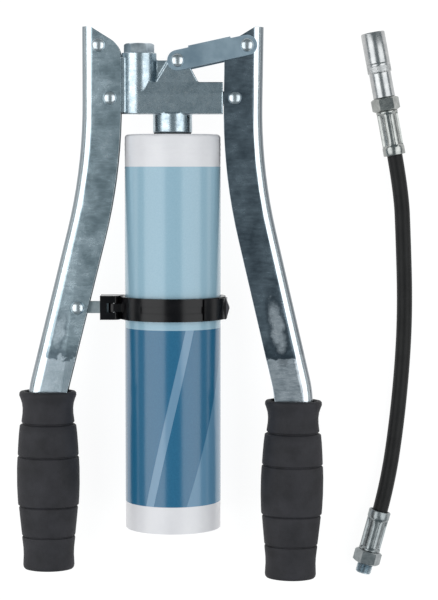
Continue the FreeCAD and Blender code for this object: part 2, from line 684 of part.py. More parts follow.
def clamp_saddle():
    """Fixed half of the clamp, with the block for the bracket and the hinge's ears."""
    band = ring(CLAMP_INNER, CLAMP_OUTER, CLAMP_HEIGHT).cut(above(CLAMP_SPLIT))
    half = BLOCK_HEIGHT / 2
    left = -CLAMP_OUTER - BLOCK_REACH
    block = box(left, -CLAMP_OUTER + 2, CLAMP_Y - half, CLAMP_Y + half, -7.5, CLAMP_SPLIT)
    upright = box(left, HINGE_X, CLAMP_Y - half, CLAMP_Y + half, 0, HINGE_UP + KNUCKLE_R)
    ears = rod_y(KNUCKLE_R, HINGE_X, CLAMP_Y - half, CLAMP_Y + half, HINGE_UP)
    catch = plate(catch_corners(CLAMP_INNER + 1), CATCH_LOW, CLAMP_SPLIT)
    body = fuse(band, block, upright, ears, catch)
    gap = KNUCKLE_HALF + APART
    slot = box(left + 4, CLAMP_INNER, CLAMP_Y - gap, CLAMP_Y + gap, 0.5, 20)
    slot = slot.common(rod_y(2 * KNUCKLE_R + 2, HINGE_X, CLAMP_Y - gap, CLAMP_Y + gap, HINGE_UP))
    well = rod_y(CLAMP_INNER, 0, CLAMP_Y - 20, CLAMP_Y + 20)
    pin = rod_y(HINGE_PIN_R, HINGE_X, CLAMP_Y - 20, CLAMP_Y + 20, HINGE_UP)
    pocket = box(left - 1, left + 5, CLAMP_Y - BRACKET_HEIGHT / 2, CLAMP_Y + BRACKET_HEIGHT / 2,
                 -BRACKET_THICKNESS / 2, BRACKET_THICKNESS / 2)
    peg_hole = rod_z(PEG_R + APART, PEG_X, CLAMP_Y, CLAMP_SPLIT - PEG_LENGTH - APART, CLAMP_SPLIT + 1)
    for hole in (slot, well, pin, pocket, peg_hole):
        body = body.cut(hole)
    return body


def clamp_strap():
    """Swinging half of the clamp: hinge knuckle, grooved band, raised tab and peg."""
    start = CLAMP_SPLIT + APART + 0.2
    band = ring(CLAMP_INNER, CLAMP_OUTER, CLAMP_HEIGHT).common(above(start))
    tab = ring(CLAMP_INNER, CLAMP_OUTER + 1.2, CLAMP_HEIGHT - 1).common(above(start))
    tab = tab.common(box(19.5, 50, CLAMP_Y - 20, CLAMP_Y + 20, 0, 50))
    catch = plate(catch_corners(CLAMP_INNER + 1), start, CATCH_HIGH)
    knuckle = rod_y(KNUCKLE_R, HINGE_X, CLAMP_Y - KNUCKLE_HALF, CLAMP_Y + KNUCKLE_HALF, HINGE_UP)
    arm = box(HINGE_X, -CLAMP_INNER - 1, CLAMP_Y - KNUCKLE_HALF, CLAMP_Y + KNUCKLE_HALF,
              HINGE_UP, HINGE_UP + KNUCKLE_R)
    peg = rod_z(PEG_R, PEG_X, CLAMP_Y, CLAMP_SPLIT - PEG_LENGTH + 0.5, start + 1)
    body = fuse(band, tab, catch, knuckle, arm, peg)
    groove = ring(CLAMP_OUTER - 0.6, CLAMP_OUTER + 5, 4.0)
    groove = groove.common(box(-18.7, 18.5, CLAMP_Y - 20, CLAMP_Y + 20, 0, 60))
    well = rod_y(CLAMP_INNER, 0, CLAMP_Y - 20, CLAMP_Y + 20)
    pin = rod_y(HINGE_PIN_R + RUNNING, HINGE_X, CLAMP_Y - 20, CLAMP_Y + 20, HINGE_UP)
    return body.cut(groove).cut(well).cut(pin)


def clamp_hinge_pin():
    half = BLOCK_HEIGHT / 2
    return rod_y(HINGE_PIN_R, HINGE_X, CLAMP_Y - half, CLAMP_Y + half, HINGE_UP)


def clamp_bracket():
    """Steel bar from the left handle to the clamp's block."""
    half = BRACKET_HEIGHT / 2
    inner_half = HALF_INSIDE - SLIDE
    end = -CLAMP_OUTER - BLOCK_REACH + 5
    bar = box(BRACKET_RIVET.x, end, CLAMP_Y - half, CLAMP_Y + half,
              -BRACKET_THICKNESS / 2, BRACKET_THICKNESS / 2)
    boss = rod_z(BRACKET_BOSS_R, BRACKET_RIVET.x, CLAMP_Y, -inner_half, inner_half)
    return fuse(bar, boss).cut(rod_z(RIVET_R, BRACKET_RIVET.x, CLAMP_Y, -HALF_WIDTH, HALF_WIDTH))


# ---------------------------------------------------------------- hose and its ends
def hose_frame(at, towards):
    """Placement that takes +Y from the origin to a point and direction on the floor."""
    turn = FreeCAD.Rotation(vec(0, 1, 0), towards)
    return FreeCAD.Placement(at, turn)


def hose_path(points):
    """Straight runs joined by arcs that take up to 0.45 of the shorter run."""
    corners = [vec(*p) for p in points]
    edges = []
    radii = []
    here = corners[0]
    for before, corner, after in zip(corners, corners[1:], corners[2:]):
        back = (before - corner).normalize()
        on = (after - corner).normalize()
        half_turn = (math.pi - back.getAngle(on)) / 2
        reach = 0.45 * min((before - corner).Length, (after - corner).Length)
        radius = reach / math.tan(half_turn)
        radii.append(radius)
        first = corner + back * reach
        last = corner + on * reach
        inside = corner + (back + on).normalize() * (radius / math.cos(half_turn) - radius)
        edges.append(Part.LineSegment(here, first).toShape())
        edges.append(Part.Arc(first, inside, last).toShape())
        here = last
    edges.append(Part.LineSegment(here, corners[-1]).toShape())
    return Part.Wire(edges), radii


def hose_tube():
    path, radii = hose_path(HOSE_ROUTE)
    start = vec(*HOSE_ROUTE[0])
    along = vec(*HOSE_ROUTE[1]) - start
    section = Part.Wire(Part.makeCircle(HOSE_R, start, along))
    tube = path.makePipeShell([section], True, True)
    expected = math.pi * HOSE_R ** 2 * path.Length
    print("hose radii", [round(r) for r in radii])
    print("hose length %.1f, volume %.1f, section times length %.1f"
          % (path.Length, tube.Volume, expected))
    return tube


def flutes(y0, y1):
    """Crimp marks: shallow grooves round a ferrule."""
    count = 8
    marks = []
    for k in range(count):
        a = 2 * math.pi * (k + 0.5) / count
        reach = FERRULE_R + 1.6
        marks.append(rod_y(2.2, reach * math.cos(a), y0, y1, reach * math.sin(a)))
    return marks


def ferrule(length):
    """Crimped steel sleeve along +Y whose open mouth is at y = length."""
    sleeve = rod_y(FERRULE_R, 0, 0, length)
    for mark in flutes(1.5, length - 6):
        sleeve = sleeve.cut(mark)
    sleeve = sleeve.cut(rod_y(FERRULE_MOUTH_R, 0, length - FERRULE_MOUTH_DEPTH, length + 1))
    return sleeve.cut(rod_y(OIL_WAY_R, 0, -1, length))


def hex_end(length):
    bar = hexagon(FITTING_AF, 0, 0, length)
    return bar.common(hex_chamfer(FITTING_AF, 0, 0, length))


def lower_end(shape):
    """Puts a piece built along +Y, with the ferrule's root at 0, at the threaded end."""
    start = vec(*HOSE_ROUTE[0])
    along = (vec(*HOSE_ROUTE[1]) - start).normalize()
    placed = shape.copy()
    root = start - along * (LOWER_FERRULE - FERRULE_MOUTH_DEPTH)
    placed.Placement = hose_frame(root, along).multiply(shape.Placement)
    return placed


def upper_end(shape):
    end = vec(*HOSE_ROUTE[-1])
    back = (vec(*HOSE_ROUTE[-2]) - end).normalize()
    placed = shape.copy()
    root = end - back * (UPPER_FERRULE - FERRULE_MOUTH_DEPTH)
    placed.Placement = hose_frame(root, back).multiply(shape.Placement)
    return placed


def hose_thread_end():
    body = fuse(hex_end(HEX_LENGTH),
                rod_y(HOSE_THREAD_R - 0.8, 0, -1.5, 0.5),
                rod_y(HOSE_THREAD_R, 0, -HOSE_THREAD_LENGTH, -1.2))
    body = body.cut(rod_y(OIL_WAY_R, 0, -HOSE_THREAD_LENGTH - 1, HEX_LENGTH + 1))
    body.translate(vec(0, -HEX_LENGTH, 0))
    return body


def hose_hex_fitting():
    body = hex_end(HEX_LENGTH).cut(rod_y(OIL_WAY_R, 0, -1, HEX_LENGTH + 1))
    body.translate(vec(0, -HEX_LENGTH, 0))
    return body


# The coupler is built along +Y with its mouth at y = 0 and its shank at the far end.
def coupler_sleeve():
    body = rod_y(COUPLER_R, 0, 0, COUPLER_SLEEVE)
    body = body.cut(rod_y(COUPLER_BORE, 0, 2.2, COUPLER_SLEEVE + 1))
    return body.cut(rod_y(JAW_NOSE_R + RUNNING, 0, -1, 3))


def coupler_jaws():
    """Four hardened jaws that close on the nipple's head."""
    ring_body = fuse(rod_y(JAW_NOSE_R, 0, 0.3, 3), rod_y(JAW_R, 0, 2.2 + SEATED, JAW_LENGTH))
    ring_body = ring_body.cut(rod_y(JAW_BORE_R, 0, -1, JAW_LENGTH + 1))
    ring_body = ring_body.cut(turned([(0, 0), (JAW_BORE_R + 1, 0), (0, 4.3)]))
    slit = JAW_SLIT / 2
    for cutter in (box(-20, 20, -1, JAW_LENGTH + 1, -slit, slit),
                   box(-slit, slit, -1, JAW_LENGTH + 1, -20, 20)):
        ring_body = ring_body.cut(cutter)
    ring_body.rotate(vec(0, 0, 0), vec(0, 1, 0), 45)
    return ring_body


def coupler_seal():
    disc = rod_y(JAW_R, 0, JAW_LENGTH, JAW_LENGTH + SEAL_DISC)
    return disc.cut(rod_y(OIL_WAY_R, 0, 0, JAW_LENGTH + SEAL_DISC + 1))


def coupler_spring():
    """Drawn at the length it has with the jaws pushed back."""
    start = JAW_LENGTH + SEAL_DISC + JAW_TRAVEL + APART
    end = COUPLER_SLEEVE - 2.0
    turns = 2
    wire = 0.55
    pitch = (end - start - 2 * wire - 0.1) / turns
    return coil(COUPLER_BORE - 1.4, wire, pitch, turns, 0, start)


def coupler_body():
    body = fuse(rod_y(COUPLER_BORE, 0, COUPLER_SLEEVE - 2.0, COUPLER_SLEEVE + 0.5),
                rod_y(COUPLER_R, 0, COUPLER_SLEEVE, COUPLER_SLEEVE + COUPLER_COLLAR),
                rod_y(COUPLER_BODY_R, 0, COUPLER_SLEEVE + COUPLER_COLLAR - 0.5, COUPLER_LENGTH))
    return body.cut(rod_y(OIL_WAY_R, 0, 0, COUPLER_LENGTH + 1))


def at_coupler(shape):
    placed = shape.copy()
    placed.translate(vec(0, -HEX_LENGTH - COUPLER_LENGTH, 0))
    return upper_end(placed)


# ---------------------------------------------------------------- the whole part
def gun_nodes():
    return {
        "pump_head": pump_head(),
        "plunger": plunger(),
        "plunger_seal": plunger_seal(),
        "seal_retainer": seal_retainer(),
        "outlet_fitting": outlet_fitting(),
        "outlet_washer": outlet_washer(),
        "check_ball": check_ball(),
        "check_spring": check_spring(),
        "left_handle": left_handle(),
        "right_handle": right_handle(),
        "left_grip": left_side(grip(LEFT_GRIP_UP)),
        "right_grip": right_side(grip(0)),
        "left_handle_rivets": left_handle_rivets(),
        "link": link(),
        "lug_rivet": lug_rivet(),
        "link_rivet": link_rivet(),
        "plunger_rivet": plunger_rivet(),
        "cartridge_body": cartridge_body(),
        "neck_seal": neck_seal(),
        "cartridge_label": cartridge_label(),
        "cartridge_cap": cartridge_cap(),
        "follower_piston": follower_piston(),
        "clamp_saddle": clamp_saddle(),
        "clamp_strap": clamp_strap(),
        "clamp_hinge_pin": clamp_hinge_pin(),
        "clamp_bracket": clamp_bracket(),
        "bracket_rivet": bracket_rivet(),
    }


def hose_nodes():
    return {
        "hose_tube": hose_tube(),
        "hose_ferrule_lower": lower_end(ferrule(LOWER_FERRULE)),
        "hose_thread_end": lower_end(hose_thread_end()),
        "hose_ferrule_upper": upper_end(ferrule(UPPER_FERRULE)),
        "hose_hex_fitting": upper_end(hose_hex_fitting()),
        "coupler_body": at_coupler(coupler_body()),
        "coupler_sleeve": at_coupler(coupler_sleeve()),
        "coupler_jaws": at_coupler(coupler_jaws()),
        "coupler_seal": at_coupler(coupler_seal()),
        "coupler_spring": at_coupler(coupler_spring()),
    }


gun = gun_nodes()
span = Part.makeCompound(list(gun.values())).optimalBoundingBox(False, False)
ORIGIN = vec((span.XMin + span.XMax) / 2, (span.YMin + span.YMax) / 2, -CLAMP_OUTER)
for shape in gun.values():
    shape.translate(ORIGIN * -1)
nodes = {**gun, **hose_nodes()}

os.makedirs("parts", exist_ok=True)
for name, shape in nodes.items():
    shape.exportStep("parts/" + name + ".step")
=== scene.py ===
import math

import bmesh
import bpy
import numpy as np
from mathutils import Matrix, Vector


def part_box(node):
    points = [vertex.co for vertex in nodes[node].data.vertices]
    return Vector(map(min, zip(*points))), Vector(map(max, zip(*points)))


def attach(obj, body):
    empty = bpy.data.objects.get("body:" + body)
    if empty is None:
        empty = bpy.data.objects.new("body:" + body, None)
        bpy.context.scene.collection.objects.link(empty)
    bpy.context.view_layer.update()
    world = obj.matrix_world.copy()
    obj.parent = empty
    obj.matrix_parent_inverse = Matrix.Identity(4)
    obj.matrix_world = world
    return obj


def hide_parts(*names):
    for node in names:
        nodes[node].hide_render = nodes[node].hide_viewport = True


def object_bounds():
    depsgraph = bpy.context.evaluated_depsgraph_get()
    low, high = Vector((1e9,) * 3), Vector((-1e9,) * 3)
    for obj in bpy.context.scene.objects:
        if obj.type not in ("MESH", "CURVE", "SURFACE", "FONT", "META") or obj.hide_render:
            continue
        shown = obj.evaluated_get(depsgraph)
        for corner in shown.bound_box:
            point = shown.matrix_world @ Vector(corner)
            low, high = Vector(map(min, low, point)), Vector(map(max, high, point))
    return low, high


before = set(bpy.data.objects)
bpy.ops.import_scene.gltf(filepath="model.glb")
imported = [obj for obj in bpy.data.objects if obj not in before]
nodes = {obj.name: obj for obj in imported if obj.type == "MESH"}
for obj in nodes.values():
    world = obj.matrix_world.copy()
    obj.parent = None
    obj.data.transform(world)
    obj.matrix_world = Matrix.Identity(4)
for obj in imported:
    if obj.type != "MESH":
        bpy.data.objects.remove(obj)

cad_low, cad_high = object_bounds()
MM = 0.001


# ------------------------------------------------------------------ camera, table and light
# The gun lies on its back on a white table under two long soft boxes, one on each side,
# and is seen from above its head with a long lens.
TABLE_LEVEL = cad_low.z
NECK_LENGTH = 10.5 * MM
AIM_ASIDE = 30.0 * MM
AIM_BELOW_SHOULDER = 100.6 * MM
EYE_ALONG = 81.7 * MM
EYE_ABOVE = 1158.0 * MM
LENS = 114.2
gun_middle = (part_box("left_grip")[0].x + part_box("right_grip")[1].x) / 2
axis_level = (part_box("cartridge_body")[0].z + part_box("cartridge_body")[1].z) / 2
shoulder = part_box("cartridge_body")[1].y - NECK_LENGTH
aim = Vector((gun_middle + AIM_ASIDE, shoulder - AIM_BELOW_SHOULDER, axis_level))

camera_data = bpy.data.cameras.new("camera")
camera_data.lens = LENS
camera_data.sensor_width = 36
camera_data.clip_start = 0.01
camera = bpy.data.objects.new("camera", camera_data)
camera.location = aim + Vector((0, EYE_ALONG, EYE_ABOVE))
camera.rotation_euler = (-math.atan2(EYE_ALONG, EYE_ABOVE), 0, 0)
bpy.context.scene.collection.objects.link(camera)
bpy.context.scene.camera = camera

BOX_LONG = 1.5
for name, aside, above, wide, radiance in (("left_box", -0.76, 0.84, 1.10, 1.9),
                                           ("right_box", 0.82, 0.82, 1.00, 1.75)):
    box_data = bpy.data.lights.new(name, "AREA")
    box_data.shape = "RECTANGLE"
    box_data.size, box_data.size_y = wide, BOX_LONG
    box_data.energy = radiance * math.pi * wide * BOX_LONG
    soft_box = bpy.data.objects.new(name, box_data)
    soft_box.location = (aside, 0, above)
    soft_box.rotation_euler = (0, math.atan2(aside - gun_middle, above - axis_level), 0)
    bpy.context.scene.collection.objects.link(soft_box)

world = bpy.data.worlds.new("studio")
world.use_nodes = True
backdrop = world.node_tree.nodes["Background"]
backdrop.inputs["Color"].default_value = (0.80, 0.94, 1.0, 1)
backdrop.inputs["Strength"].default_value = 0.27
bpy.context.scene.world = world
bpy.context.scene.view_settings.view_transform = "Standard"

TABLE_HALF = 3.0
table_mesh = bpy.data.meshes.new("table")
table_mesh.from_pydata([(-TABLE_HALF, -TABLE_HALF, TABLE_LEVEL), (TABLE_HALF, -TABLE_HALF, TABLE_LEVEL),
                        (TABLE_HALF, TABLE_HALF, TABLE_LEVEL), (-TABLE_HALF, TABLE_HALF, TABLE_LEVEL)],
                       [], [(0, 1, 2, 3)])
table = bpy.data.objects.new("table", table_mesh)
bpy.context.scene.collection.objects.link(table)
table_paint = bpy.data.materials.new("white_table")
table_paint.use_nodes = True
table_shader = table_paint.node_tree.nodes["Principled BSDF"]
table_shader.inputs["Base Color"].default_value = (0.16, 0.16, 0.16, 1)
table_shader.inputs["Roughness"].default_value = 0.9
table_shader.inputs["Specular IOR Level"].default_value = 0.1
table_shader.inputs["Emission Color"].default_value = (1, 1, 1, 1)
table_shader.inputs["Emission Strength"].default_value = 0.92
table_mesh.materials.append(table_paint)


# ------------------------------------------------------------------ hose
# Black synthetic rubber over wire braid, 9.6 mm across, extruded; its two ends are crimped
# into steel ferrules. It lies loose on the table beside the gun.
HOSE_R = 4.8 * MM
HOSE_ROUTE = [
    (130.1, -134.8, 7.5), (135.5, -114.8, 7.5), (141.3, -77.1, 4.95), (145.1, -34.1, 4.85),
    (146.1, 0.9, 4.85), (144.7, 40.9, 4.95), (143.1, 68.9, 7.5), (138.1, 95.5, 7.5),
]
route = [Vector(point) * MM for point in HOSE_ROUTE]

hose_curve = bpy.data.curves.new("hose", "CURVE")
hose_curve.dimensions = "3D"
line = hose_curve.splines.new("NURBS")
line.points.add(len(route) - 1)
for spot, point in zip(line.points, route):
    spot.co = (*point, 1)
line.order_u = 3
line.use_endpoint_u = True
line.resolution_u = 16
hose_curve.bevel_depth = HOSE_R
hose_curve.bevel_resolution = 10
hose_curve.use_fill_caps = True
hose = bpy.data.objects.new("hose", hose_curve)
bpy.context.scene.collection.objects.link(hose)


def colour(red, green, blue):
    """A display colour, each part 0 to 255, as the linear colour that a shader takes."""
    parts = [c / 255 for c in (red, green, blue)]
    linear = [c / 12.92 if c <= 0.04045 else ((c + 0.055) / 1.055) ** 2.4 for c in parts]
    return (*linear, 1)


class Wire:
    """A socket in a material's nodes. Arithmetic on it adds Math nodes."""

    def __init__(self, tree, socket):
        self.tree, self.socket = tree, socket

    def node(self, kind, settings, sockets, out=0):
        """A new node: its settings are set first, then its sockets' values or links."""
        made = self.tree.nodes.new("ShaderNode" + kind)
        for name, value in settings.items():
            if name == "stops":
                ramp = made.color_ramp.elements
                ramp.remove(ramp[1])
                ramp[0].position, ramp[0].color = value[0]
                for at, shade in value[1:]:
                    ramp.new(at).color = shade
            else:
                setattr(made, name, value)
        for name, value in sockets.items():
            if isinstance(value, Wire):
                self.tree.links.new(value.socket, made.inputs[name])
            else:
                made.inputs[name].default_value = value
        return Wire(self.tree, made.outputs[out])

    def __add__(self, other):
        return self.node("Math", {"operation": "ADD"}, {0: self, 1: other})

    def __sub__(self, other):
        return self.node("Math", {"operation": "SUBTRACT"}, {0: self, 1: other})

    def __rsub__(self, other):
        return self.node("Math", {"operation": "SUBTRACT"}, {0: other, 1: self})

    def __mul__(self, other):
        return self.node("Math", {"operation": "MULTIPLY"}, {0: self, 1: other})

    def __truediv__(self, other):
        return self.node("Math", {"operation": "DIVIDE"}, {0: self, 1: other})

    def __gt__(self, other):
        return self.node("Math", {"operation": "GREATER_THAN"}, {0: self, 1: other})


def new_finish(name, plain):
    """A material with plain values on its shader's own sockets; also gives its Object coordinates."""
    made = bpy.data.materials.new(name)
    made.use_nodes = True
    shader = made.node_tree.nodes["Principled BSDF"]
    for socket, value in plain.items():
        shader.inputs[socket].default_value = value
    here = Wire(made.node_tree, None).node("TexCoord", {}, {}, out="Object")
    return made, here


def apply_finish(made, varied, height, depth, strength):
    """Links what varies over the surface to the shader, and a height to its bump."""
    shader = made.node_tree.nodes["Principled BSDF"]
    for socket, wire in varied.items():
        made.node_tree.links.new(wire.socket, shader.inputs[socket])
    bump = height.node("Bump", {}, {"Height": height, "Distance": depth, "Strength": strength})
    made.node_tree.links.new(bump.socket, shader.inputs["Normal"])
    return made


def speckle(here, size, detail, rough=0.55):
    """Soft noise from 0 to 1 whose patches are about this many metres across."""
    return here.node("TexNoise", {}, {"Vector": here, "Scale": 1 / size, "Detail": detail,
                                      "Roughness": rough})


def shades(wire, *stops):
    """A colour ramp through (position, colour) stops."""
    return wire.node("ValToRGB", {"stops": list(stops)}, {"Fac": wire})


def spread(wire, low, high):
    """A wire's 0 to 1 taken to low to high."""
    return wire * (high - low) + low


def rubber_finish(name, dark, light, gloss, grain, depth, sheen=0.42):
    """Matte rubber: cloudy wear in two near-black tones and a fine grain."""
    made, here = new_finish(name, {"Specular IOR Level": sheen})
    cloud = speckle(here, 14 * MM, 4)
    fine = speckle(here, grain, 2)
    return apply_finish(made, {
        "Base Color": shades(cloud, (0.32, dark), (0.7, light)),
        "Roughness": spread(fine, gloss, gloss + 0.18),
    }, height=fine, depth=depth, strength=0.7)


hose_curve.materials.append(rubber_finish("hose_rubber", colour(12, 12, 12), colour(25, 25, 25),
                                          0.42, 0.7 * MM, 0.05 * MM, sheen=0.25))
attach(hose, "hose")
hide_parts("hose_tube")


# ------------------------------------------------------------------ hose ferrules
# Steel sleeves crimped on to the hose by eight jaws, which leave eight flats with ridges
# between them and a plain ring at the mouth. The hose leaves a short recess there.
FERRULE_R = 6.85 * MM
FERRULE_MOUTH_R = 5.7 * MM
FERRULE_MOUTH_DEPTH = 4.0 * MM
LOWER_FERRULE = 26.0 * MM
UPPER_FERRULE = 27.6 * MM
CRIMP_FLATS = 8
CRIMP_DEPTH = 1.0 * MM
CRIMP_RISE = 1.2 * MM
RIDGE_SHARPNESS = 2.6
MOUTH_RING = 5.2 * MM
AROUND = 96


def set_along(start, towards):
    """The frame whose Y axis runs from start along the table, with Z up."""
    ahead = Vector((towards.x, towards.y, 0)).normalized()
    across = Vector((ahead.y, -ahead.x, 0))
    turn = Matrix((across, ahead, (0, 0, 1))).transposed()
    return Matrix.Translation(start) @ turn.to_4x4()


def turned(profile, around=AROUND):
    """Rings of a lathe-turned shape about Y, from (radius, place along Y) pairs."""
    radius, along = np.array(profile, float).T
    angle = np.arange(around) * 2 * math.pi / around
    return np.stack([radius[:, None] * np.cos(angle), np.repeat(along[:, None], around, 1),
                     radius[:, None] * np.sin(angle)], -1)


def skin(name, rings, place, loop=False, sharp=35):
    """A closed skin over rings of points. A loop joins the last ring to the first."""
    levels, around, _ = rings.shape
    mesh = bpy.data.meshes.new(name)
    number = np.arange(levels * around).reshape(levels, around)
    if loop:
        number = np.vstack([number, number[:1]])
    aside = np.roll(number, -1, axis=1)
    faces = np.stack([number[:-1], number[1:], aside[1:], aside[:-1]], -1).reshape(-1, 4)
    mesh.from_pydata(rings.reshape(-1, 3).tolist(), [], faces.tolist())
    mesh.transform(place)
    return closed_piece(name, mesh, sharp)


def closed_piece(name, mesh, sharp, bevel=0.0):
    """An object from a closed mesh: doubles joined, normals outward, edges softened."""
    work = bmesh.new()
    work.from_mesh(mesh)
    bmesh.ops.remove_doubles(work, verts=work.verts, dist=1e-6)
    bmesh.ops.dissolve_degenerate(work, edges=work.edges, dist=1e-7)
    bmesh.ops.recalc_face_normals(work, faces=work.faces)
    work.to_mesh(mesh)
    work.free()
    mesh.shade_smooth()
    mesh.set_sharp_from_angle(angle=math.radians(sharp))
    piece = bpy.data.objects.new(name, mesh)
    bpy.context.scene.collection.objects.link(piece)
    if bevel:
        soften = piece.modifiers.new("soft_edges", "BEVEL")
        soften.width = bevel
        soften.segments = 2
        soften.limit_method = "ANGLE"
        soften.angle_limit = math.radians(sharp)
        soften.harden_normals = True
    return piece


def own(piece, body, slot, finish, *stands_for):
    """Rides a piece on its body, with its finish and the CAD nodes that it replaces; its slot is not used."""
    piece.data.materials.clear()
    piece.data.materials.append(finish)
    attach(piece, body)
    if stands_for:
        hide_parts(*stands_for)
    return piece


def steel_finish(name, low, high, gloss, patch=9 * MM, scuff=0.06, depth=0.02 * MM):
    """Bare or plated metal: clouded tone, uneven gloss and a fine grain."""
    made, here = new_finish(name, {"Metallic": 1.0})
    cloud = speckle(here, patch, 5, 0.6)
    fine = speckle(here, 0.5 * MM, 2)
    return apply_finish(made, {
        "Base Color": shades(cloud, (0.3, low), (0.7, high)),
        "Roughness": spread(cloud, gloss - scuff, gloss + scuff) + fine * 0.08,
    }, height=fine, depth=depth, strength=0.5)


fitting_finish = steel_finish("fitting_steel", colour(138, 141, 139), colour(172, 174, 171), 0.2,
                              patch=4 * MM)
matt_finish = steel_finish("fitting_matt", colour(122, 128, 130), colour(156, 161, 162), 0.28, patch=3 * MM)


def ferrule(name, node, length, place, finish):
    """A crimped sleeve that replaces a node; its mouth is at length along the place's Y."""
    body = length - MOUTH_RING
    levels = [0, 0.35 * MM, CRIMP_RISE, 2 * CRIMP_RISE]
    levels += list(np.linspace(3.2 * MM, body - CRIMP_RISE, 6)) + [body - 0.4 * MM, body + 0.4 * MM]
    levels += [body + 1.1 * MM, length - 0.35 * MM, length]
    radii = [FERRULE_R - 0.5 * MM, FERRULE_R - 0.15 * MM] + [FERRULE_R - 0.1 * MM] * 9
    radii += [FERRULE_R - 0.05 * MM, FERRULE_R, FERRULE_R, FERRULE_R - 0.25 * MM]
    inner = [(FERRULE_MOUTH_R + 0.15 * MM, length), (FERRULE_MOUTH_R, length - 0.3 * MM),
             (FERRULE_MOUTH_R, length - FERRULE_MOUTH_DEPTH), (0, length - FERRULE_MOUTH_DEPTH)]
    rings = turned([(0, 0)] + list(zip(radii, levels)) + inner)
    angle = np.arange(AROUND) * 2 * math.pi / AROUND
    across = np.abs((angle * CRIMP_FLATS / (2 * math.pi) + 0.5) % 1 - 0.5) * 2
    flat = np.clip((1 - across) * RIDGE_SHARPNESS, 0, 1)
    for k, height in enumerate(levels, start=1):
        pressed = np.clip(height / CRIMP_RISE - 1, 0, 1) * np.clip((body - height) / CRIMP_RISE, 0, 1)
        narrow = 1 - CRIMP_DEPTH * pressed * flat / FERRULE_R
        rings[k, :, [0, 2]] *= narrow
    return own(skin(name, rings, place, sharp=38), "hose", "fitting_steel", finish, node)


lower_way = route[1] - route[0]
lower_root = set_along(route[0] - lower_way.normalized() * (LOWER_FERRULE - FERRULE_MOUTH_DEPTH), lower_way)
upper_way = route[-2] - route[-1]
upper_root = set_along(route[-1] - upper_way.normalized() * (UPPER_FERRULE - FERRULE_MOUTH_DEPTH), upper_way)
lower_ferrule = ferrule("ferrule_lower", "hose_ferrule_lower", LOWER_FERRULE, lower_root, matt_finish)
upper_ferrule = ferrule("ferrule_upper", "hose_ferrule_upper", UPPER_FERRULE, upper_root, fitting_finish)


# ------------------------------------------------------------------ hose hexagons and thread
# Turned steel ends pressed into the ferrules: a 15 mm hexagon with chamfered corners on each,
# and on the lower one the M10x1 thread that screws into the gun's outlet.
HEX_AF = 15.0 * MM
HEX_LENGTH = 8.3 * MM
HEX_CHAMFER = 0.6
HEX_END_R = 0.93 * HEX_AF / 2
THREAD_R = 4.95 * MM
THREAD_PITCH = 1.0 * MM
THREAD_DEPTH = 0.55 * MM
THREAD_LENGTH = 6.5 * MM
THREAD_RUN_IN = 0.8 * MM
THREAD_CHAMFER = 0.5 * MM
OIL_WAY_R = 1.75 * MM


def hexagon(low, high):
    """Rings of a hexagon about Y with a flat on top, its corners turned off at both ends."""
    angle = (np.arange(AROUND) * 2 * math.pi / AROUND) % (math.pi / 3) - math.pi / 6
    flats = HEX_AF / 2 / np.cos(angle)
    reach = (HEX_AF / 2 / math.cos(math.pi / 6) - HEX_END_R) * HEX_CHAMFER
    levels = np.unique(np.concatenate([np.linspace(0, reach, 7), high - low - np.linspace(0, reach, 7)]))
    rings = turned([(1, low + level) for level in levels])
    for k, level in enumerate(levels):
        radius = np.minimum(flats, HEX_END_R + min(level, high - low - level) / HEX_CHAMFER)
        rings[k, :, [0, 2]] *= radius
    return rings


def capped(rings, low, high):
    """Rings with the oil way through them, to be closed as a loop."""
    return np.concatenate([turned([(OIL_WAY_R, low)]), rings, turned([(OIL_WAY_R, high)])])


def thread(low, high):
    """Rings of a turned thread about Y, faded out at its free end."""
    levels = np.arange(low, high + 1e-9, 0.1 * MM)
    rings = turned([(1, level) for level in levels])
    turn = np.arange(AROUND) / AROUND
    for k, level in enumerate(levels):
        wave = np.abs(((level / THREAD_PITCH - turn) % 1) - 0.5) * 2
        fade = max(0.0, 1 - (level - low) / THREAD_RUN_IN)
        radius = THREAD_R - THREAD_DEPTH * wave - fade * THREAD_CHAMFER
        rings[k, :, [0, 2]] *= radius
    return rings


def hex_nut(name, node, place, finish):
    """A hexagon with the oil way through it, outside the ferrule at place."""
    rings = capped(hexagon(-HEX_LENGTH, 0), -HEX_LENGTH, 0)
    return own(skin(name, rings, place, loop=True, sharp=25), "hose", "fitting_steel", finish, node)


hex_upper = hex_nut("hex_upper", "hose_hex_fitting", upper_root, fitting_finish)
hex_lower = hex_nut("hex_lower", "hose_thread_end", lower_root, matt_finish)
thread_low, thread_high = -HEX_LENGTH - THREAD_LENGTH, -HEX_LENGTH + 0.2 * MM
thread_end = own(
    skin("hose_thread", capped(thread(thread_low, thread_high), thread_low, thread_high), lower_root,
         loop=True, sharp=50), "hose", "fitting_steel",
    steel_finish("thread_zinc", colour(132, 148, 158), colour(176, 188, 194), 0.3))


# ------------------------------------------------------------------ coupler
# Four-jaw grease coupler, turned from steel and chrome plated: a smooth nose sleeve screwed
# on to a body that has a finely knurled band and a plain shank. The jaws sit in the mouth.
COUPLER_R = 7.4 * MM
SHANK_R = 6.75 * MM
SLEEVE = 19.3 * MM
COLLAR = 6.0 * MM
SHANK = 15.4 * MM
MOUTH_R = 4.95 * MM
MOUTH_LIP = 2.2 * MM
SEAM = 0.02 * MM
KNURL_DEPTH = 0.16 * MM
KNURLS = 60
KNURL_STEPS = 6
BORE_R = COUPLER_R - 1.4 * MM
coupler_length = SLEEVE + COLLAR + SHANK
nose = upper_root @ Matrix.Translation((0, -HEX_LENGTH - coupler_length, 0))
chrome_finish = steel_finish("coupler_chrome", colour(164, 166, 167), colour(188, 189, 189), 0.22,
                             patch=4 * MM, scuff=0.05)

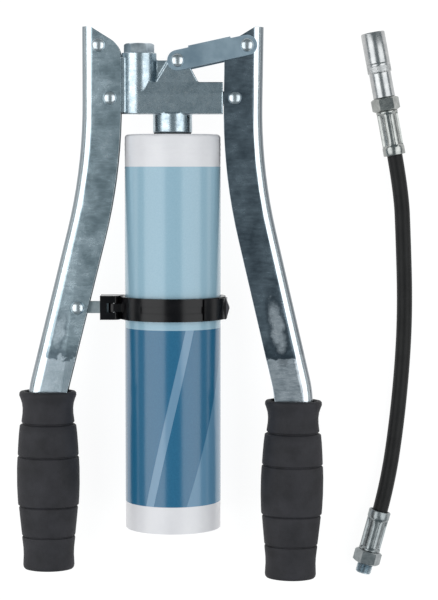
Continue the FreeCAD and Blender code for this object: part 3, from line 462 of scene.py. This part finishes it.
sleeve_profile = [
    (MOUTH_R, 0), (COUPLER_R - 0.9 * MM, 0), (COUPLER_R - 0.35 * MM, 0.15 * MM), (COUPLER_R, 0.7 * MM),
    (COUPLER_R, SLEEVE - 0.25 * MM), (COUPLER_R - 0.2 * MM, SLEEVE - SEAM), (BORE_R, SLEEVE - SEAM),
    (BORE_R, MOUTH_LIP), (MOUTH_R, MOUTH_LIP)]
coupler_sleeve = own(skin("coupler_nose", turned(sleeve_profile), nose, loop=True), "hose",
                     "coupler_chrome", chrome_finish, "coupler_sleeve")

knurl_start, knurl_end = SLEEVE + 1.7 * MM, SLEEVE + COLLAR - 0.5 * MM
knurl_levels = np.linspace(knurl_start, knurl_end, 25)
knurl_around = KNURLS * KNURL_STEPS
knurled = turned([(COUPLER_R, level) for level in knurl_levels], knurl_around)
knurl_turn = np.arange(knurl_around) / knurl_around * KNURLS
for k, level in enumerate(knurl_levels[1:-1], start=1):
    lean = (level - knurl_start) / (2 * math.pi * COUPLER_R / KNURLS)
    left = np.abs((knurl_turn + lean) % 1 - 0.5)
    right = np.abs((knurl_turn - lean) % 1 - 0.5)
    cut = 1 - KNURL_DEPTH * 2 * np.maximum(left, right) / COUPLER_R
    knurled[k, :, [0, 2]] *= cut
spigot_r = BORE_R - 0.05 * MM
before = turned([(OIL_WAY_R, SLEEVE - 2 * MM), (spigot_r, SLEEVE - 2 * MM), (spigot_r, SLEEVE),
                 (COUPLER_R - 0.25 * MM, SLEEVE), (COUPLER_R, SLEEVE + 0.3 * MM)], knurl_around)
after = turned([(COUPLER_R - 0.05 * MM, knurl_end + 0.2 * MM), (SHANK_R, knurl_end + 0.6 * MM),
                (SHANK_R, coupler_length - 0.4 * MM), (SHANK_R - 0.35 * MM, coupler_length),
                (OIL_WAY_R, coupler_length)], knurl_around)
coupler_body = own(skin("coupler_shank", np.concatenate([before, knurled, after]), nose, loop=True, sharp=40),
                   "hose", "coupler_chrome", chrome_finish, "coupler_body")


# ------------------------------------------------------------------ pump head
# One zinc die casting: the barrel, the outlet boss, the cartridge's neck, the lug and the tongue
# in the left handle. Casting leaves every edge rounded and the skin lightly pitted.
CAST_GRID = 0.42 * MM
CAST_ROUNDING = 5


def cad_copy(node, name, sharp=35, bevel=0.0):
    """A separate piece from a CAD node's mesh, with its loose triangles joined."""
    mesh = nodes[node].data.copy()
    mesh.name = name
    if "custom_normal" in mesh.attributes:
        mesh.attributes.remove(mesh.attributes["custom_normal"])
    work = bmesh.new()
    work.from_mesh(mesh)
    bmesh.ops.remove_doubles(work, verts=work.verts, dist=2e-6)
    bmesh.ops.dissolve_limit(work, angle_limit=math.radians(0.6), verts=work.verts, edges=work.edges)
    work.to_mesh(mesh)
    work.free()
    return closed_piece(name, mesh, sharp, bevel)


def settled(piece):
    """The piece with its modifiers worked into its mesh."""
    seen = piece.evaluated_get(bpy.context.evaluated_depsgraph_get())
    mesh = bpy.data.meshes.new_from_object(seen)
    piece.modifiers.clear()
    piece.data = mesh
    return piece


head = cad_copy("pump_head", "cast_head")
remesh = head.modifiers.new("grid", "REMESH")
remesh.mode = "VOXEL"
remesh.voxel_size = CAST_GRID
remesh.use_smooth_shade = True
ease = head.modifiers.new("cast_rounding", "SMOOTH")
ease.factor = 0.5
ease.iterations = CAST_ROUNDING
settled(head)


def blend_colours(share, low, high):
    """The colour low where share is 0 and high where it is 1."""
    return share.node("Mix", {"data_type": "RGBA"}, {0: share, 6: low, 7: high}, out=2)


def zinc_finish(name, low, high, gloss, depth):
    """Die-cast zinc: patchy grey skin, fine pits and rubbed lighter spots."""
    made, here = new_finish(name, {"Metallic": 1.0})
    patch = speckle(here, 5 * MM, 5, 0.65)
    grain = speckle(here, 0.9 * MM, 3, 0.6)
    spots = shades(grain, (0.38, (0, 0, 0, 1)), (0.6, (1, 1, 1, 1)))
    rubbed = shades(speckle(here, 2.2 * MM, 4, 0.7), (0.5, (0, 0, 0, 1)), (0.72, (1, 1, 1, 1)))
    skin_tone = blend_colours(spots * 0.35, shades(patch, (0.3, low), (0.72, high)), low)
    tone = blend_colours(rubbed * 0.3, skin_tone, colour(226, 230, 230))
    return apply_finish(made, {
        "Base Color": tone,
        "Roughness": spread(patch, gloss + 0.1, gloss - 0.05) + grain * 0.12,
    }, height=patch * 0.6 + grain * 0.5, depth=depth, strength=0.8)


own(head, "frame", "zinc_casting",
    zinc_finish("zinc_casting", colour(144, 160, 169), colour(208, 221, 228), 0.18, 0.08 * MM), "pump_head")


# ------------------------------------------------------------------ outlet fitting
# A hexagonal steel plug with the hose's thread, screwed into the top of the outlet boss on a
# soft washer. It is zinc plated; its corners are chamfered.
own(cad_copy("outlet_fitting", "outlet_hexagon", bevel=0.25 * MM), "frame", "zinc_plated_steel",
    steel_finish("outlet_zinc", colour(158, 170, 178), colour(204, 214, 220), 0.28, patch=4 * MM),
    "outlet_fitting")


# ------------------------------------------------------------------ handles
# Two channels pressed from 2 mm steel sheet and zinc plated after bending, with cloudy flats and a painted
# highlight on the rounded folds. The left one is riveted to the head; the right one swings.
# The flats turn darker above a wandering line and paler below it and in an oval patch; on the right handle
# this is painted reflection.
DARK_LINE_LEVEL = -31 * MM
DARK_LINE_DEPTH = 8 * MM
DARK_LINE_WANDER = 3.0
PALE_PATCH_WANDER = 3.4
# The painted highlight on the folds, the tone it fades to, and the depth over which it fades.
FOLD_SKIN = 0.12 * MM
FOLD_HIGHLIGHT_SPAN = 4 * MM
FOLD_HIGHLIGHT = colour(224, 232, 236)
FOLD_HIGHLIGHT_FADED = colour(118, 126, 132)
HANDLE_BEVEL = 0.35 * MM


def ramp_down(wire, full, none):
    """1 at the value full, 0 at the value none, clamped beyond them."""
    return wire.node("MapRange", {}, {"Value": wire, "From Min": none, "From Max": full})


def unsigned(wire):
    return wire.node("Math", {"operation": "ABSOLUTE"}, {0: wire})


def not_below_zero(wire):
    return wire.node("Math", {"operation": "MAXIMUM"}, {0: wire, 1: 0.0})


def parts_of(vector):
    """The X, Y and Z of a vector's wire."""
    return [vector.node("SeparateXYZ", {}, {"Vector": vector}, out=k) for k in range(3)]


def handle_finish(name, node, low, high, dark_tone, pale_tone, pale_patch):
    """Plated sheet whose flats are darker above a wandering line and paler below it and in an oval patch,
    with a painted highlight on the folds.

    pale_patch gives its centre, half width and half length in mm, and how far it leans."""
    made, here = new_finish(name, {"Metallic": 1.0})
    x, y, z = parts_of(here)
    cloud = speckle(here, 12 * MM, 6, 0.6)
    wander = speckle(here, 7 * MM, 6, 0.68) - 0.5
    drawn = speckle(here.node("Mapping", {}, {"Vector": here, "Scale": (0.25, 1.0, 1.0)}), 1.3 * MM, 3, 0.6)

    # Darker above a wandering line, paler below it: painted reflection on the right handle.
    dark_line = (y - DARK_LINE_LEVEL) / DARK_LINE_DEPTH + wander * DARK_LINE_WANDER
    below = ramp_down(dark_line, -0.06, 0.06)
    above = not_below_zero(ramp_down(dark_line, 0.3, 1.0) - below)

    # A pale oval patch with a darker rim: painted reflection on the right handle.
    middle_x, middle_y, half_wide, half_long, lean = pale_patch
    wide = (x - middle_x * MM + (y - middle_y * MM) * lean) / (half_wide * MM)
    long = (y - middle_y * MM) / (half_long * MM)
    reach = wide * wide + long * long + wander * PALE_PATCH_WANDER
    inside = ramp_down(reach, 0.1, 1.1)
    rim = not_below_zero(ramp_down(reach, 1.1, 2.2) - inside)

    pale_blend = shades(cloud * 0.6 + drawn * 0.4, (0.24, high), (0.52, pale_tone))
    flat_tone = shades(cloud * 0.7 + drawn * 0.3, (0.36, low), (0.62, high))
    for share, tone in ((below * 0.92, pale_blend), (above * 0.8, dark_tone), (rim * 0.55, dark_tone),
                        (inside * 0.85, pale_blend)):
        flat_tone = blend_colours(share, flat_tone, tone)

    box_low, box_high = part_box(node)
    flat_at = (box_high.z - box_low.z) / 2 - FOLD_SKIN
    drop = flat_at - unsigned(z - (box_low.z + box_high.z) / 2)
    # Painted highlight: the rounded folds get a bright tone that fades towards the middle of the web.
    fold_highlight = shades(drop / FOLD_HIGHLIGHT_SPAN, (0.35, FOLD_HIGHLIGHT), (0.6, FOLD_HIGHLIGHT_FADED))
    return apply_finish(made, {
        "Base Color": blend_colours((drop > 0.0) * 0.85, flat_tone, fold_highlight),
        "Roughness": spread(cloud, 0.14, 0.3) + drawn * 0.06,
    }, height=cloud + drawn * 0.15, depth=0.2 * MM, strength=0.45)


left_finish = handle_finish("plated_left", "left_handle", colour(156, 174, 182), colour(196, 212, 220),
                            colour(112, 128, 138), colour(204, 216, 224), (-67.0, -15.0, 3.6, 11.0, -0.17))
# Painted reflection: the right handle's plating is toned darker than the left's, standing in for the
# reflection of a slightly tilted handle.
right_shaded_finish = handle_finish("plated_right_shaded", "right_handle", colour(94, 106, 116), colour(134, 148, 158),
                             colour(66, 78, 88), colour(222, 228, 234), (65.3, -12.5, 4.6, 18.0, 0.165))
for node, name, body, finish in (("left_handle", "handle_left", "frame", left_finish),
                                 ("right_handle", "handle_right", "handle_body", right_shaded_finish)):
    own(cad_copy(node, name, sharp=40, bevel=HANDLE_BEVEL), body, "handle_steel", finish, node)


# ------------------------------------------------------------------ grips
# Sleeves of matte black rubber moulded to an oval section and pushed on to the handles. Each has
# a flared rim, a slim neck, four grooves all round and a foot that flares again.
GRIP_PROFILE = [  # below the rim in mm, and share of the half width
    (0.0, 0.80), (0.25, 0.87), (1.1, 0.905), (2.6, 0.91), (4.6, 0.87), (7.4, 0.825), (10.5, 0.806),
    (14.0, 0.812), (18.5, 0.845), (19.2, 0.84), (19.65, 0.79), (20.2, 0.79), (20.5, 0.86), (21.1, 0.90),
    (26.0, 0.93), (33.0, 0.957), (38.6, 0.972), (39.3, 0.966), (39.7, 0.92), (40.2, 0.92), (40.5, 0.965),
    (41.2, 0.984), (48.0, 1.0), (58.0, 1.0), (65.5, 0.985), (69.4, 0.972), (70.0, 0.965), (70.4, 0.92),
    (70.9, 0.90), (71.2, 0.925), (72.0, 0.942), (78.0, 0.912), (84.0, 0.88), (88.0, 0.858), (88.7, 0.85),
    (89.1, 0.80), (89.6, 0.80), (89.9, 0.84), (90.6, 0.85), (93.5, 0.832), (97.0, 0.812), (101.0, 0.805),
    (105.0, 0.815), (107.4, 0.82), (108.8, 0.805), (109.7, 0.765), (110.0, 0.70)]
GRIP_DEPTH = 31.0 * MM
GRIP_WIDTH = 38.4 * MM
GRIP_LENGTH = 110.0 * MM
GRIP_SEGMENTS = 96
CLOSED_TILT = -0.9
MOUTH_DEPTH = 6.0 * MM
MOUTH_SHARE = 0.70


def grip(name, node, tilt):
    """A grip about its CAD node's middle, with a recess at its rim for the handle."""
    low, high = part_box(node)
    place = Matrix.Translation((low + high) / 2) @ Matrix.Rotation(math.radians(tilt), 4, "Z")
    half, rim = GRIP_WIDTH / 2, GRIP_LENGTH / 2
    profile = [(0, rim - MOUTH_DEPTH), (half * MOUTH_SHARE, rim - MOUTH_DEPTH),
               (half * MOUTH_SHARE, rim - 1.2 * MM), (half * (MOUTH_SHARE + 0.04), rim - 0.2 * MM)]
    profile += [(half * share, rim - below * MM) for below, share in GRIP_PROFILE]
    profile += [(0, -rim)]
    rings = turned(profile, GRIP_SEGMENTS)
    rings[:, :, 2] *= GRIP_DEPTH / GRIP_WIDTH
    return skin(name, rings, place, sharp=50)


grip_finish = rubber_finish("grip_rubber", colour(26, 25, 29), colour(44, 43, 48), 0.6,
                            0.5 * MM, 0.16 * MM)
own(grip("grip_left", "left_grip", 0), "frame", "grip_rubber", grip_finish, "left_grip")
own(grip("grip_right", "right_grip", CLOSED_TILT), "handle_body", "grip_rubber", grip_finish, "right_grip")


# ------------------------------------------------------------------ rivets
# Snap-head steel rivets, zinc plated, 5 mm in the shank: two through the left handle, one at
# each end of the link, one on the plunger and one through the clamp's bracket.
RIVET_R = 2.5 * MM
RIVET_HEAD_R = 4.1 * MM
RIVET_HEAD_HEIGHT = 2.3 * MM


def rivet_tree(finish):
    """Geometry Nodes: a domed head on each side of every point, on a shank between them."""
    tree = bpy.data.node_groups.new("rivets", "GeometryNodeTree")
    tree.interface.new_socket("Places", in_out="INPUT", socket_type="NodeSocketGeometry")
    for label in ("Shank radius", "Head radius", "Head height"):
        tree.interface.new_socket(label, in_out="INPUT", socket_type="NodeSocketFloat")
    tree.interface.new_socket("Rivets", in_out="OUTPUT", socket_type="NodeSocketGeometry")

    def add(kind, sockets, **settings):
        """A new node's outputs; a socket's value may be another node's output."""
        made = tree.nodes.new(kind)
        for name, value in settings.items():
            setattr(made, name, value)
        for name, value in sockets.items():
            if isinstance(value, bpy.types.NodeSocket):
                tree.links.new(value, made.inputs[name])
            else:
                made.inputs[name].default_value = value
        return made.outputs

    places, shank_r, head_r, head_height, _ = add("NodeGroupInput", {})
    half_grip = add("GeometryNodeInputNamedAttribute", {0: "half_grip"}, data_type="FLOAT")[0]
    ball = add("GeometryNodeMeshUVSphere", {0: 40, 1: 20, 2: 1.0})[0]
    here = add("ShaderNodeSeparateXYZ", {0: add("GeometryNodeInputPosition", {})[0]})
    upper = add("ShaderNodeMath", {0: here[2], 1: 0.0}, operation="MAXIMUM")[0]
    size = add("ShaderNodeCombineXYZ", {0: head_r, 1: head_r, 2: head_height})[0]
    raised = add("ShaderNodeCombineXYZ", {0: here[0], 1: here[1], 2: upper})[0]
    scaled = add("ShaderNodeVectorMath", {0: raised, 1: size}, operation="MULTIPLY")[0]
    dome = add("GeometryNodeSetPosition", {0: ball, 2: scaled})[0]
    shank = add("GeometryNodeMeshCylinder", {0: 32, 1: 1, 2: 1, 3: shank_r, 4: 2.0})[0]
    lift = add("ShaderNodeCombineXYZ", {2: half_grip})[0]
    drop = add("ShaderNodeVectorMath", {0: lift, 3: -1.0}, operation="SCALE")[0]
    over = add("GeometryNodeSetPosition", {0: places, 3: lift})[0]
    under = add("GeometryNodeSetPosition", {0: places, 3: drop})[0]
    tall = add("ShaderNodeCombineXYZ", {0: 1.0, 1: 1.0, 2: half_grip})[0]
    copies = "GeometryNodeInstanceOnPoints"
    tops = add(copies, {"Points": over, "Instance": dome})[0]
    feet = add(copies, {"Points": under, "Instance": dome, "Rotation": (math.pi, 0, 0)})[0]
    shanks = add(copies, {"Points": places, "Instance": shank, "Scale": tall})[0]
    join = tree.nodes.new("GeometryNodeJoinGeometry")
    for part in (shanks, feet, tops):
        tree.links.new(part, join.inputs[0])
    real = add("GeometryNodeRealizeInstances", {0: join.outputs[0]})[0]
    coated = add("GeometryNodeSetMaterial", {"Geometry": real, "Material": finish})[0]
    add("NodeGroupOutput", {0: coated})
    return tree


rivet_finish = steel_finish("rivet_zinc", colour(172, 182, 187), colour(214, 221, 225), 0.24, depth=0.01 * MM)
rivets = rivet_tree(rivet_finish)


def rivet_set(name, body, body_nodes, heads):
    """The rivets of one body; heads pairs each shank's centre with half its grip."""
    mesh = bpy.data.meshes.new(name)
    mesh.from_pydata([centre for centre, _ in heads], [], [])
    grip_length = mesh.attributes.new("half_grip", "FLOAT", "POINT")
    grip_length.data.foreach_set("value", [half for _, half in heads])
    piece = bpy.data.objects.new(name, mesh)
    bpy.context.scene.collection.objects.link(piece)
    maker = piece.modifiers.new("rivets", "NODES")
    maker.node_group = rivets
    sizes = {"Shank radius": RIVET_R, "Head radius": RIVET_HEAD_R, "Head height": RIVET_HEAD_HEIGHT}
    for item in rivets.interface.items_tree:
        if item.name in sizes:
            maker[item.identifier] = sizes[item.name]
    settled(piece)
    piece.data.shade_smooth()
    piece.data.set_sharp_from_angle(angle=math.radians(50))
    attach(piece, body)
    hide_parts(*body_nodes)
    return piece


def rivet_at(node):
    """A rivet's centre and half its grip, from its CAD node's box."""
    low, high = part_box(node)
    return tuple((low + high) / 2), (high.z - low.z) / 2 - RIVET_HEAD_HEIGHT


pair_low, pair_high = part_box("left_handle_rivets")
pair_level, pair_grip = (pair_low.z + pair_high.z) / 2, (pair_high.z - pair_low.z) / 2 - RIVET_HEAD_HEIGHT
handle_pair = [((pair_high.x - RIVET_HEAD_R, pair_low.y + RIVET_HEAD_R, pair_level), pair_grip),
               ((pair_low.x + RIVET_HEAD_R, pair_high.y - RIVET_HEAD_R, pair_level), pair_grip)]
rivet_set("frame_rivets", "frame", ["left_handle_rivets", "lug_rivet", "bracket_rivet"],
          handle_pair + [rivet_at("lug_rivet"), rivet_at("bracket_rivet")])
rivet_set("plunger_pin", "plunger_body", ["plunger_rivet"], [rivet_at("plunger_rivet")])
rivet_set("link_pin", "handle_body", ["link_rivet"], [rivet_at("link_rivet")])


# ------------------------------------------------------------------ link
# Folded from the same 2 mm sheet: two side plates with round eyes, joined by a web along the
# top. Zinc plated, with a smoother and bluer skin than the handles.
own(cad_copy("link", "folded_link", bevel=0.3 * MM), "link_body", "zinc_plated_steel",
    steel_finish("link_zinc", colour(138, 160, 175), colour(170, 190, 202), 0.36, patch=16 * MM,
                 depth=0.04 * MM), "link")


# ------------------------------------------------------------------ cartridge
# Blow-moulded white plastic tube with a threaded neck that screws into the head, and three faint
# rings below its shoulder. The threads here are plain turned ridges.
CARTRIDGE_R = 29.0 * MM
CARTRIDGE_WALL = 1.5 * MM
NECK_THREAD_R = 8.6 * MM
NECK_ROOT_R = NECK_THREAD_R - 0.7 * MM
NECK_BORE_R = 6.6 * MM
SHOULDER_ROUND = 2.2 * MM
MOULDED_RINGS = 3
FIRST_RING = 6.0 * MM
RING_PITCH = 3.2 * MM
RING_HEIGHT = 0.12 * MM
NECK_TURNS = 4
FIRST_TURN = 1.2 * MM
NECK_PITCH = 2.2 * MM
CAP_SKIRT = 9.0 * MM
TUBE_SEGMENTS = 160
tube_low, tube_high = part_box("cartridge_body")
tube_x, tube_level = (tube_low.x + tube_high.x) / 2, (tube_low.z + tube_high.z) / 2
tube_place = Matrix.Translation((tube_x, 0, tube_level))


def plastic_finish(name, tone, shade, gloss):
    """Semi-matt moulded plastic, faintly cloudy."""
    made, here = new_finish(name, {"Specular IOR Level": 0.5})
    cloud = speckle(here, 20 * MM, 3)
    return apply_finish(made, {
        "Base Color": shades(cloud, (0.3, shade), (0.7, tone)),
        "Roughness": spread(cloud, gloss - 0.04, gloss + 0.06),
    }, height=speckle(here, 1.5 * MM, 2), depth=0.02 * MM, strength=0.4)


white_plastic = plastic_finish("cartridge_white", colour(230, 228, 230), colour(222, 220, 223), 0.3)
arc = [(CARTRIDGE_R - SHOULDER_ROUND * (1 - math.sin(a)), shoulder - SHOULDER_ROUND * (1 - math.cos(a)))
       for a in np.linspace(0, math.pi / 2, 9)]
moulded = []
for k in range(MOULDED_RINGS):
    middle = shoulder - FIRST_RING - RING_PITCH * k
    moulded += [(CARTRIDGE_R, middle + 0.9 * MM), (CARTRIDGE_R + RING_HEIGHT, middle + 0.3 * MM),
                (CARTRIDGE_R + RING_HEIGHT, middle - 0.3 * MM), (CARTRIDGE_R, middle - 0.9 * MM)]
screw = []
for k in range(NECK_TURNS):
    turn_top = tube_high.y - FIRST_TURN - NECK_PITCH * k
    screw += [(NECK_ROOT_R, turn_top), (NECK_THREAD_R, turn_top - 0.5 * MM),
              (NECK_THREAD_R, turn_top - 0.9 * MM), (NECK_ROOT_R, turn_top - 1.4 * MM)]
inside = CARTRIDGE_R - CARTRIDGE_WALL
tube_profile = [(NECK_BORE_R, tube_high.y), (NECK_ROOT_R, tube_high.y)] + screw
tube_profile += [(NECK_ROOT_R, shoulder)] + arc + moulded
tube_profile += [(CARTRIDGE_R, tube_low.y + CAP_SKIRT), (CARTRIDGE_R, tube_low.y), (inside, tube_low.y),
                 (inside, shoulder - SHOULDER_ROUND), (inside - 2.4 * MM, shoulder - CARTRIDGE_WALL),
                 (NECK_BORE_R, shoulder - CARTRIDGE_WALL)]
own(skin("cartridge_tube", turned(tube_profile, TUBE_SEGMENTS), tube_place, loop=True, sharp=30),
    "cartridge", "cartridge_plastic", white_plastic, "cartridge_body")


# ------------------------------------------------------------------ cartridge cap
# White plastic disc with a skirt, pushed into the tube's lower end. The small vent in its
# middle lets air in behind the follower piston.
CAP_FLOOR = 2.0 * MM
VENT_R = 2.0 * MM
cap_r = inside
end = tube_low.y
cap_face = cap_r - 3 * CAP_FLOOR
cap_profile = [
    (VENT_R, end + CAP_FLOOR / 2), (cap_face, end + CAP_FLOOR / 2), (cap_face, end + 0.2 * MM),
    (cap_face + 0.2 * MM, end), (cap_r - 0.3 * MM, end), (cap_r, end + 0.3 * MM), (cap_r, end + CAP_SKIRT),
    (cap_r - CAP_FLOOR, end + CAP_SKIRT), (cap_r - CAP_FLOOR, end + CAP_FLOOR), (VENT_R, end + CAP_FLOOR)]
own(skin("end_cap", turned(cap_profile, TUBE_SEGMENTS), tube_place, loop=True), "cartridge",
    "cartridge_plastic",
    plastic_finish("cap_plastic", colour(240, 238, 238), colour(234, 232, 232), 0.34),
    "cartridge_cap")


# ------------------------------------------------------------------ label
# Printed film shrunk round the tube: pale blue above the clamp's line, deep blue below it,
# with one slanting band and a lighter field beside it. It carries no text.
LABEL_THICKNESS = 0.15 * MM
FIELD_SPLIT = shoulder - 117.0 * MM
BAND_START = 11.0 * MM
BAND_SLOPE = 0.235
BAND_HALF = 2.6 * MM
FIELD_START = 44.0 * MM
FIELD_SLOPE = 0.33
label_low, label_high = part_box("cartridge_label")
label_r = CARTRIDGE_R + LABEL_THICKNESS

label_finish, here = new_finish("label_film", {"Roughness": 0.22, "Specular IOR Level": 0.55,
                                               "Coat Weight": 0.35, "Coat Roughness": 0.16})
axis = here.node("Mapping", {}, {"Vector": here, "Location": (-tube_x, 0, -tube_level)})
across, along, upward = parts_of(axis)
round_tube = across.node("Math", {"operation": "ARCTAN2"}, {0: across, 1: upward}) * label_r
below_split = FIELD_SPLIT - along
deep = below_split > 0.0
band_place = round_tube - (BAND_START - below_split * BAND_SLOPE)
band = (BAND_HALF - unsigned(band_place)) > 0.0
field = (round_tube - (FIELD_START - below_split * FIELD_SLOPE)) > 0.0
print_grain = speckle(here, 0.8 * MM, 2)
deep_blue = shades(print_grain, (0.3, colour(30, 96, 132)), (0.7, colour(36, 104, 139)))
lit_field = blend_colours(field * 0.5, deep_blue, colour(120, 160, 188))
lit_band = blend_colours(band * 0.55, lit_field, colour(140, 172, 198))
pale_blue = shades(print_grain, (0.3, colour(146, 180, 197)), (0.7, colour(152, 185, 201)))
apply_finish(label_finish, {"Base Color": blend_colours(deep, pale_blue, lit_band)},
             height=speckle(here, 18 * MM, 2), depth=0.12 * MM, strength=0.25)
own(skin("label", turned([(CARTRIDGE_R, label_low.y), (label_r, label_low.y), (label_r, label_high.y),
                          (CARTRIDGE_R, label_high.y)], TUBE_SEGMENTS), tube_place, loop=True, sharp=30),
    "cartridge", "label_film", label_finish, "cartridge_label")


# ------------------------------------------------------------------ clamp
# Two halves moulded in black nylon: the saddle with the block for its bracket, and the strap
# that swings on a steel pin and snaps shut over the catch. The bracket is plated steel bar.
ARROW_FROM = tube_x + 32.2 * MM


def nylon_finish(name, dark, light, gloss):
    """Black nylon, grey on the catch's arrow."""
    made, here = new_finish(name, {"Specular IOR Level": 0.3})
    cloud = speckle(here, 6 * MM, 4)
    fine = speckle(here, 0.35 * MM, 2)
    # The catch's arrow is coloured grey beyond ARROW_FROM along X.
    arrow_grey = parts_of(here)[0] > ARROW_FROM
    black = shades(cloud, (0.35, dark), (0.7, light))
    return apply_finish(made, {
        "Base Color": blend_colours(arrow_grey * 0.8, black, colour(96, 94, 98)),
        "Roughness": spread(cloud, gloss - 0.06, gloss + 0.1),
    }, height=cloud + fine * 0.3, depth=0.08 * MM, strength=0.5)


nylon = nylon_finish("clamp_nylon", colour(3, 2, 4), colour(9, 7, 10), 0.2)
for node, name, body in (("clamp_saddle", "clamp_half_fixed", "frame"),
                         ("clamp_strap", "clamp_half_swing", "strap")):
    own(cad_copy(node, name, bevel=0.3 * MM), body, "clamp_plastic", nylon, node)
own(cad_copy("clamp_bracket", "bracket_bar", bevel=0.25 * MM), "frame", "zinc_plated_steel",
    steel_finish("zinc_plate", colour(150, 163, 168), colour(190, 200, 204), 0.3, depth=0.03 * MM),
    "clamp_bracket")


# ------------------------------------------------------------------ pieces inside
# What the gun needs inside itself: hardened plunger and jaws, the outlet valve's ball and
# spring, rubber seals, the soft washer, the follower piston and the clamp's pin.
ground = steel_finish("ground_steel", colour(170, 172, 175), colour(200, 202, 204), 0.16, depth=0.005 * MM)
spring = steel_finish("spring_steel", colour(120, 122, 128), colour(160, 162, 168), 0.3)
washer = steel_finish("soft_aluminium", colour(185, 187, 190), colour(210, 212, 214), 0.4)
sealing = rubber_finish("seal_rubber", colour(22, 22, 24), colour(36, 36, 38), 0.5, 0.4 * MM, 0.02 * MM)
piston = plastic_finish("piston_plastic", colour(206, 200, 186), colour(196, 190, 176), 0.4)
for finish, names in ((ground, ("plunger", "seal_retainer", "check_ball", "clamp_hinge_pin", "coupler_jaws")),
                      (spring, ("check_spring", "coupler_spring")),
                      (washer, ("outlet_washer",)),
                      (sealing, ("plunger_seal", "neck_seal", "coupler_seal")),
                      (piston, ("follower_piston",))):
    for name in names:
        nodes[name].data.materials.clear()
        nodes[name].data.materials.append(finish)
